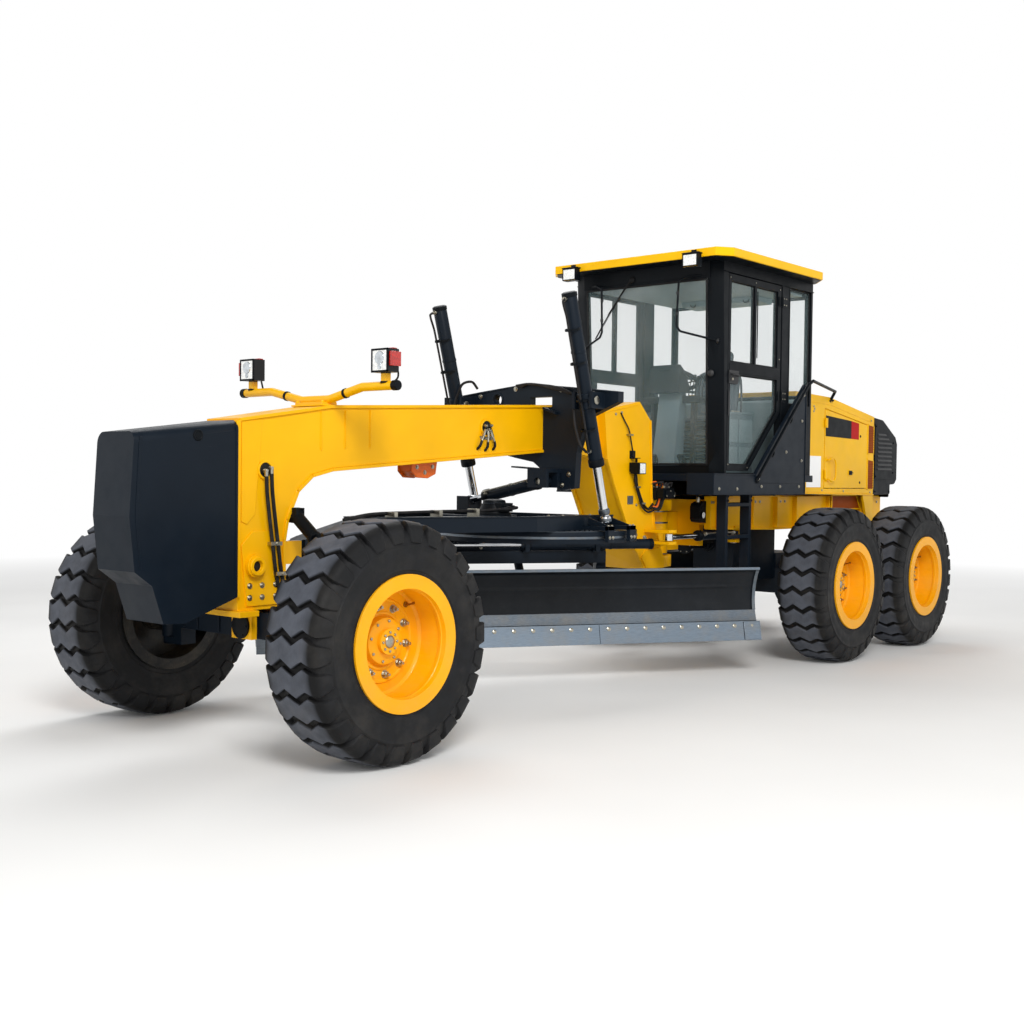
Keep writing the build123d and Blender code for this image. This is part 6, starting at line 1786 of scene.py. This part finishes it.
for k in range(3):
    a = 2 * math.pi * k / 3 + math.pi / 2
    grip.tube([(0.040 * math.cos(a), 0.040 * math.sin(a), 0.012), (0.110 * math.cos(a), 0.110 * math.sin(a), 0.010), (0.178 * math.cos(a), 0.178 * math.sin(a), 0.004)], 0.012, 10, 4)
m.merge(grip, T)
m.tube([(-1.075, 0.08, 2.400), (-1.10, 0.15, 2.42), (-1.115, 0.185, 2.425)], 0.006, 8, 4)
m.ball((-1.117, 0.190, 2.426), 0.013, 16, 8)
m.use(1)
for y, r in ((-0.085, 0.030), (0.0, 0.042), (0.085, 0.030)):
    m.turn((-1.046, y, 2.452), (-0.86, 0, 0.5), [(r, 0.0), (r, 0.006), (r - 0.005, 0.008), (r - 0.006, 0.004)], 28)
m.use(2)
for y, r in ((-0.085, 0.024), (0.0, 0.036), (0.085, 0.024)):
    m.turn((-1.046, y, 2.452), (-0.86, 0, 0.5), [(r, 0.0), (r, 0.004), (0.0005, 0.004)], 28)
piece("steering_console", m, [PLASTIC, ZINC, WHITE], "rear_frame", 0.002)

# levers in two banks either side of the wheel, and pedals
m = Mesh()
for s in (1, -1):
    m.use(0)
    m.prism([(-1.02, 2.235), (-1.13, 2.235), (-1.15, 2.265), (-1.02, 2.295)], s * 0.115, s * 0.290)
    m.prism([(-1.03, 1.64), (-1.07, 1.64), (-1.10, 2.24), (-1.04, 2.24)], s * 0.190, s * 0.225)
    for k in range(5):
        y = 0.135 + k * 0.034
        m.turn((-1.090, s * y, 2.280), (-0.2, 0, 1), [(0.016, -0.01), (0.014, 0.006), (0.010, 0.016), (0.006, 0.022)], 16)
        m.tube([(-1.090, s * y, 2.290), (-1.100, s * y, 2.360), (-1.125, s * (y + 0.004), 2.440 + 0.012 * (k % 2))], 0.005, 8, 4)
        c = (-1.128, s * (y + 0.004), 2.452 + 0.012 * (k % 2))
        m.turn(c, (-0.25, 0, 1), [(0.006, -0.022), (0.013, -0.014), (0.015, 0.004), (0.012, 0.018), (0.0005, 0.023)], 18)
m.use(1)
for y in (-0.22, -0.08, 0.20):
    m.box((-0.905, y - 0.032, 1.690), (-0.885, y + 0.032, 1.790), Matrix.Translation((-0.895, y, 1.74)) @ Matrix.Rotation(math.radians(32), 4, "Y") @ Matrix.Translation((0.895, -y, -1.74)))
    m.tube([(-0.86, y, 1.635), (-0.865, y, 1.70), (-0.888, y, 1.735)], 0.008, 8, 4)
    for k in range(4):
        m.box((-0.908, y - 0.028, 1.700 + k * 0.022), (-0.903, y + 0.028, 1.708 + k * 0.022), Matrix.Translation((-0.895, y, 1.74)) @ Matrix.Rotation(math.radians(32), 4, "Y") @ Matrix.Translation((0.895, -y, -1.74)))
piece("cab_levers", m, [PLASTIC, FLOORMAT], "rear_frame", 0.0015)

# side consoles: lids, armrest pads, switches, kick panels
m = Mesh()
for s in (1, -1):
    m.use(0)
    m.prism([(-1.172, 2.152), (-1.708, 2.152), (-1.708, 2.172), (-1.160, 2.160)], s * 0.294, s * 0.426)
    m.prism([(-1.200, 1.66), (-1.180, 1.66), (-1.176, 2.13), (-1.190, 2.13)], s * 0.306, s * 0.414)
    for z0, z1 in ((1.68, 1.86), (1.90, 2.10)):
        for x0 in (-1.22, -1.47):
            m.prism([(x0, z0), (x0 - 0.215, z0), (x0 - 0.215, z1), (x0, z1)], s * 0.419, s * 0.426)
    m.use(1)
    for i in range(5):
        for j in range(2):
            x, y = -1.205 - i * 0.042, 0.325 + j * 0.045
            m.box((x - 0.014, s * (y - 0.010), 2.160), (x + 0.014, s * (y + 0.014), 2.1745 - i * 0.0005))
    m.use(2)
    for i in range(3):
        m.turn((-1.45 - i * 0.05, s * 0.36, 2.166), (0, 0, 1), [(0.015, 0.0), (0.014, 0.014), (0.010, 0.018), (0.0005, 0.018)], 18)
piece("side_consoles", m, [TRIM, PLASTIC, ZINC], "rear_frame", 0.002)


# ------------------------------------------------------------------ seat
def cushion(name, size, place, channels=(), cross=(), bolster=0.0, p=4.2, n=36, body="rear_frame", crown=0.35):
    """Closed padded form: crowned top and bottom, sides drawn in, sewn channels as grooves, piping at the seam.
    size: half lengths along its own x, y and half thickness; place: matrix; channels at x = c, cross at y = c (unit)."""
    a, b, c = size
    me = Mesh()

    def outline(u, v):
        # square to rounded square
        r = (abs(u) ** p + abs(v) ** p) ** (1.0 / p)
        m_ = max(abs(u), abs(v))
        k = m_ / r if r > 1e-9 else 1.0
        pinch = 1.0 - 0.035 * (1 - abs(u) ** 2) * (abs(v) ** 6) - 0.035 * (1 - abs(v) ** 2) * (abs(u) ** 6)
        return u * k * pinch, v * k * pinch, m_

    def height(u, v, m_, top):
        edge = max(0.0, 1.0 - m_ ** 7) ** 0.42
        h = c * edge * (1 - crown * 0.5 + crown * 0.5 * (1 - 0.6 * u * u - 0.6 * v * v))
        if top:
            if bolster:
                h *= 1 + bolster * (max(0.0, abs(v) - 0.55) / 0.45) ** 2 * (1 - abs(v) ** 12)
            for g in channels:
                if abs(v) < 0.66:
                    h -= c * 0.20 * math.exp(-((u - g) / 0.028) ** 2) * edge * (1 - (abs(v) / 0.66) ** 8)
            for g in cross:
                h -= c * 0.24 * math.exp(-((v - g) / 0.028) ** 2) * edge
            h += c * 0.035 * (math.sin(u * 9.1 + v * 3.0) * math.sin(v * 7.3 - u * 2.0)) * edge
        return h
    top, bot = {}, {}
    pts = [-1 + 2 * i / n for i in range(n + 1)]
    pts = [math.sin(t * math.pi / 2) * 0.35 + t * 0.65 for t in pts]
    verts = []
    for i, u in enumerate(pts):
        for j, v in enumerate(pts):
            x, y, m_ = outline(u, v)
            edge = i in (0, n) or j in (0, n)
            top[i, j] = len(verts)
            verts.append(place @ V(a * x, b * y, 0 if edge else height(u, v, m_, True)))
            if edge:
                bot[i, j] = top[i, j]
            else:
                bot[i, j] = len(verts)
                verts.append(place @ V(a * x, b * y, -height(u, v, m_, False) * 0.8))
    faces = []
    for i in range(n):
        for j in range(n):
            faces.append((top[i, j], top[i + 1, j], top[i + 1, j + 1], top[i, j + 1]))
            faces.append((bot[i, j], bot[i, j + 1], bot[i + 1, j + 1], bot[i + 1, j]))
    me.add(verts, faces)
    ob = piece(name, me, FABRIC, body, smooth=75)
    sub = ob.modifiers.new("round", "SUBSURF")
    sub.levels = sub.render_levels = 1
    pipe = Mesh()
    ring = [place @ V(a * outline(u, v)[0] * 1.004, b * outline(u, v)[1] * 1.004, 0) for u, v in
            [(t, -1) for t in pts[:-1]] + [(1, t) for t in pts[:-1]] + [(-t, 1) for t in pts[:-1]] + [(-1, -t) for t in pts[:-1]]]
    k = 8
    loops = []
    for i, q in enumerate(ring):
        t = (ring[(i + 1) % len(ring)] - ring[i - 1]).normalized()
        nrm = (place.to_3x3() @ V(0, 0, 1)).normalized()
        sd = t.cross(nrm)
        loops.append([q + (nrm * math.cos(2 * math.pi * e / k) + sd * math.sin(2 * math.pi * e / k)) * 0.0042 for e in range(k)])
    pipe.rings(loops, False, True)
    piece(name + "_piping", pipe, SEAL, body, smooth=60)
    return ob


base_place = Matrix.Translation((-1.545, 0, 2.072)) @ Matrix.Rotation(math.radians(-3), 4, "Y")
seat_base = cushion("seat_cushion", (0.242, 0.246, 0.058), base_place, channels=(-0.35, 0.05, 0.42), cross=(-0.62, 0.62), bolster=0.22)
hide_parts("seat")
lean = math.atan2(0.095, 0.60)
back_place = Matrix.Translation((-1.772, 0, 2.345)) @ Matrix.Rotation(math.radians(90) - lean, 4, "Y") @ Matrix.Rotation(math.pi, 4, "Z")
seat_back = cushion("seat_back", (0.232, 0.236, 0.060), back_place, channels=(-0.45, -0.1, 0.25, 0.6), cross=(-0.60, 0.60), bolster=0.30)
head_place = Matrix.Translation((-1.832, 0, 2.675)) @ Matrix.Rotation(math.radians(90) - lean, 4, "Y") @ Matrix.Rotation(math.pi, 4, "Z")
seat_head = cushion("seat_headrest", (0.078, 0.135, 0.048), head_place, channels=(), cross=(), p=3.2, n=24)
m = Mesh()
m.use(0)
m.prism([(-1.740, 2.055), (-1.350, 2.032), (-1.320, 2.045), (-1.330, 2.012), (-1.740, 2.012)], -0.225, 0.225)
for s in (1, -1):
    m.tube([(-1.700, s * 0.248, 2.030), (-1.765, s * 0.250, 2.055), (-1.812, s * 0.235, 2.20), (-1.850, s * 0.205, 2.48), (-1.862, s * 0.150, 2.58)], 0.010, 10, 6)
    m.tube([(-1.848, s * 0.060, 2.50), (-1.852, s * 0.060, 2.62), (-1.858, s * 0.060, 2.68)], 0.0065, 10, 4)
    m.turn((-1.755, s * 0.252, 2.075), (0, s, 0), [(0.030, -0.004), (0.030, 0.008), (0.022, 0.014), (0.0005, 0.015)], 28)
m.use(1)
m.prism([(-1.355, 1.70), (-1.745, 1.70), (-1.745, 1.712), (-1.355, 1.712)], -0.208, 0.208)
for k in range(7):
    z = 1.745 + k * 0.034
    m.prism([(-1.352 + 0.010 * (k % 2), z), (-1.748 - 0.010 * (k % 2), z), (-1.748 - 0.010 * (k % 2), z + 0.020), (-1.352 + 0.010 * (k % 2), z + 0.020)], -0.206 - 0.008 * (k % 2), 0.206 + 0.008 * (k % 2))
piece("seat_frame", m, [PLASTIC, FLOORMAT], "rear_frame", 0.003)

# ------------------------------------------------------------------ handrail stanchions and clamps
m = Mesh()
for s in (1, -1):
    for p, q in (((-1.35, 0.830, 1.843), (-1.38, 0.806, 1.80)), ((-1.66, 0.830, 2.141), (-1.69, 0.806, 2.10))):
        m.tube([(p[0], s * p[1], p[2]), (q[0], s * 0.812, q[2]), (q[0], s * 0.800, q[2] - 0.006)], 0.009, 10, 4)
        m.turn((q[0], s * 0.800, q[2] - 0.006), (0, s, 0), [(0.024, -0.001), (0.024, 0.005), (0.012, 0.009)], 20)
    m.turn((-2.900, s * 0.578, 2.335), (0, -s * 0.3, 1), [(0.030, -0.004), (0.030, 0.004), (0.018, 0.010)], 20)
    m.turn((-1.120, s * 0.806, 1.575), (0, s, 0), [(0.026, -0.002), (0.026, 0.006), (0.014, 0.010)], 20)
piece("handrail_feet", m, BLACK, "rear_frame", 0.001)


# ------------------------------------------------------------------ floor, light and camera
def floor_material():
    n = Net("studio_floor")
    n.link(n.mix(n.span(n.noise(0.35, 3), 0.35, 0.7), srgb(246, 246, 245), srgb(240, 240, 239)), n.sh.inputs["Base Color"])
    n.link(n.span(n.noise(2.2, 4), 0.3, 0.7, 0.82, 0.94), n.sh.inputs["Roughness"])
    n.set(spec=0.2)
    # far from the machine the floor turns into a plain white sweep
    far = n.n("ShaderNodeVectorMath", operation="LENGTH")
    n.link(n.co, far.inputs[0])
    glow = n.n("ShaderNodeEmission")
    glow.inputs["Color"].default_value = (1.0, 1.0, 1.0, 1.0)
    mixer = n.n("ShaderNodeMixShader")
    n.link(n.span(far.outputs["Value"], 8.0, 16.0), mixer.inputs[0])
    n.link(n.sh.outputs[0], mixer.inputs[1])
    n.link(glow.outputs[0], mixer.inputs[2])
    n.link(mixer.outputs[0], n.out.inputs[0])
    return n.m


me = bpy.data.meshes.new("studio_floor")
me.from_pydata([(-90, -90, 0), (90, -90, 0), (90, 90, 0), (-90, 90, 0)], [], [(0, 1, 2, 3)])
me.materials.append(floor_material())
floor = bpy.data.objects.new("studio_floor", me)
bpy.context.collection.objects.link(floor)

world = bpy.data.worlds.new("studio")
bpy.context.scene.world = world
world.use_nodes = True
wt = world.node_tree
wt.nodes.clear()
wo = wt.nodes.new("ShaderNodeOutputWorld")
wb = wt.nodes.new("ShaderNodeBackground")
tc = wt.nodes.new("ShaderNodeTexCoord")
sx = wt.nodes.new("ShaderNodeSeparateXYZ")
wr = wt.nodes.new("ShaderNodeMapRange")
wr.inputs["From Min"].default_value, wr.inputs["From Max"].default_value = 0.42, 0.70
wr.inputs["To Min"].default_value, wr.inputs["To Max"].default_value = 1.0, 0.22
wt.links.new(tc.outputs["Generated"], sx.inputs[0])
wt.links.new(sx.outputs["Z"], wr.inputs["Value"])
wt.links.new(wr.outputs[0], wb.inputs["Strength"])
wb.inputs["Color"].default_value = (1.0, 1.0, 1.0, 1.0)
wt.links.new(wb.outputs[0], wo.inputs[0])


def area_light(name, at, to, size, power, color=(1, 1, 1)):
    data = bpy.data.lights.new(name, "AREA")
    data.shape, data.size, data.size_y = "RECTANGLE", size[0], size[1]
    data.energy, data.color = power, color
    ob = bpy.data.objects.new(name, data)
    ob.location = at
    ob.rotation_euler = (V(*to) - V(*at)).to_track_quat("-Z", "Y").to_euler()
    bpy.context.collection.objects.link(ob)
    return ob


area_light("key", (9.5, 10.0, 10.5), (0.0, 0.0, 1.0), (5.0, 5.0), 1500, (1.0, 0.99, 0.975))
area_light("top", (-1.5, -4.0, 9.5), (0.2, 0.6, 0.0), (7.0, 4.0), 380)
area_light("rear", (-9.0, -6.0, 9.0), (-1.0, 0.0, 1.5), (7.0, 5.0), 260)

cam = bpy.data.cameras.new("camera")
cam.lens, cam.sensor_width = 1257.2 / 1024 * 36.0, 36.0
cam.clip_end = 400
cam_ob = bpy.data.objects.new("camera", cam)
bpy.context.collection.objects.link(cam_ob)
yaw, pitch, roll = math.radians(40.53), math.radians(1.62), math.radians(0.68)
look = V(-math.cos(yaw) * math.cos(pitch), -math.sin(yaw) * math.cos(pitch), -math.sin(pitch))
right = look.cross(V(0, 0, 1)).normalized()
up = right.cross(look)
right2 = right * math.cos(roll) + up * math.sin(roll)
up2 = up * math.cos(roll) - right * math.sin(roll)
cam_ob.matrix_world = Matrix(((right2.x, up2.x, -look.x, 8.230), (right2.y, up2.y, -look.y, 6.098), (right2.z, up2.z, -look.z, 1.580), (0, 0, 0, 1)))
bpy.context.scene.camera = cam_ob
bpy.context.scene.view_settings.view_transform = "Standard"
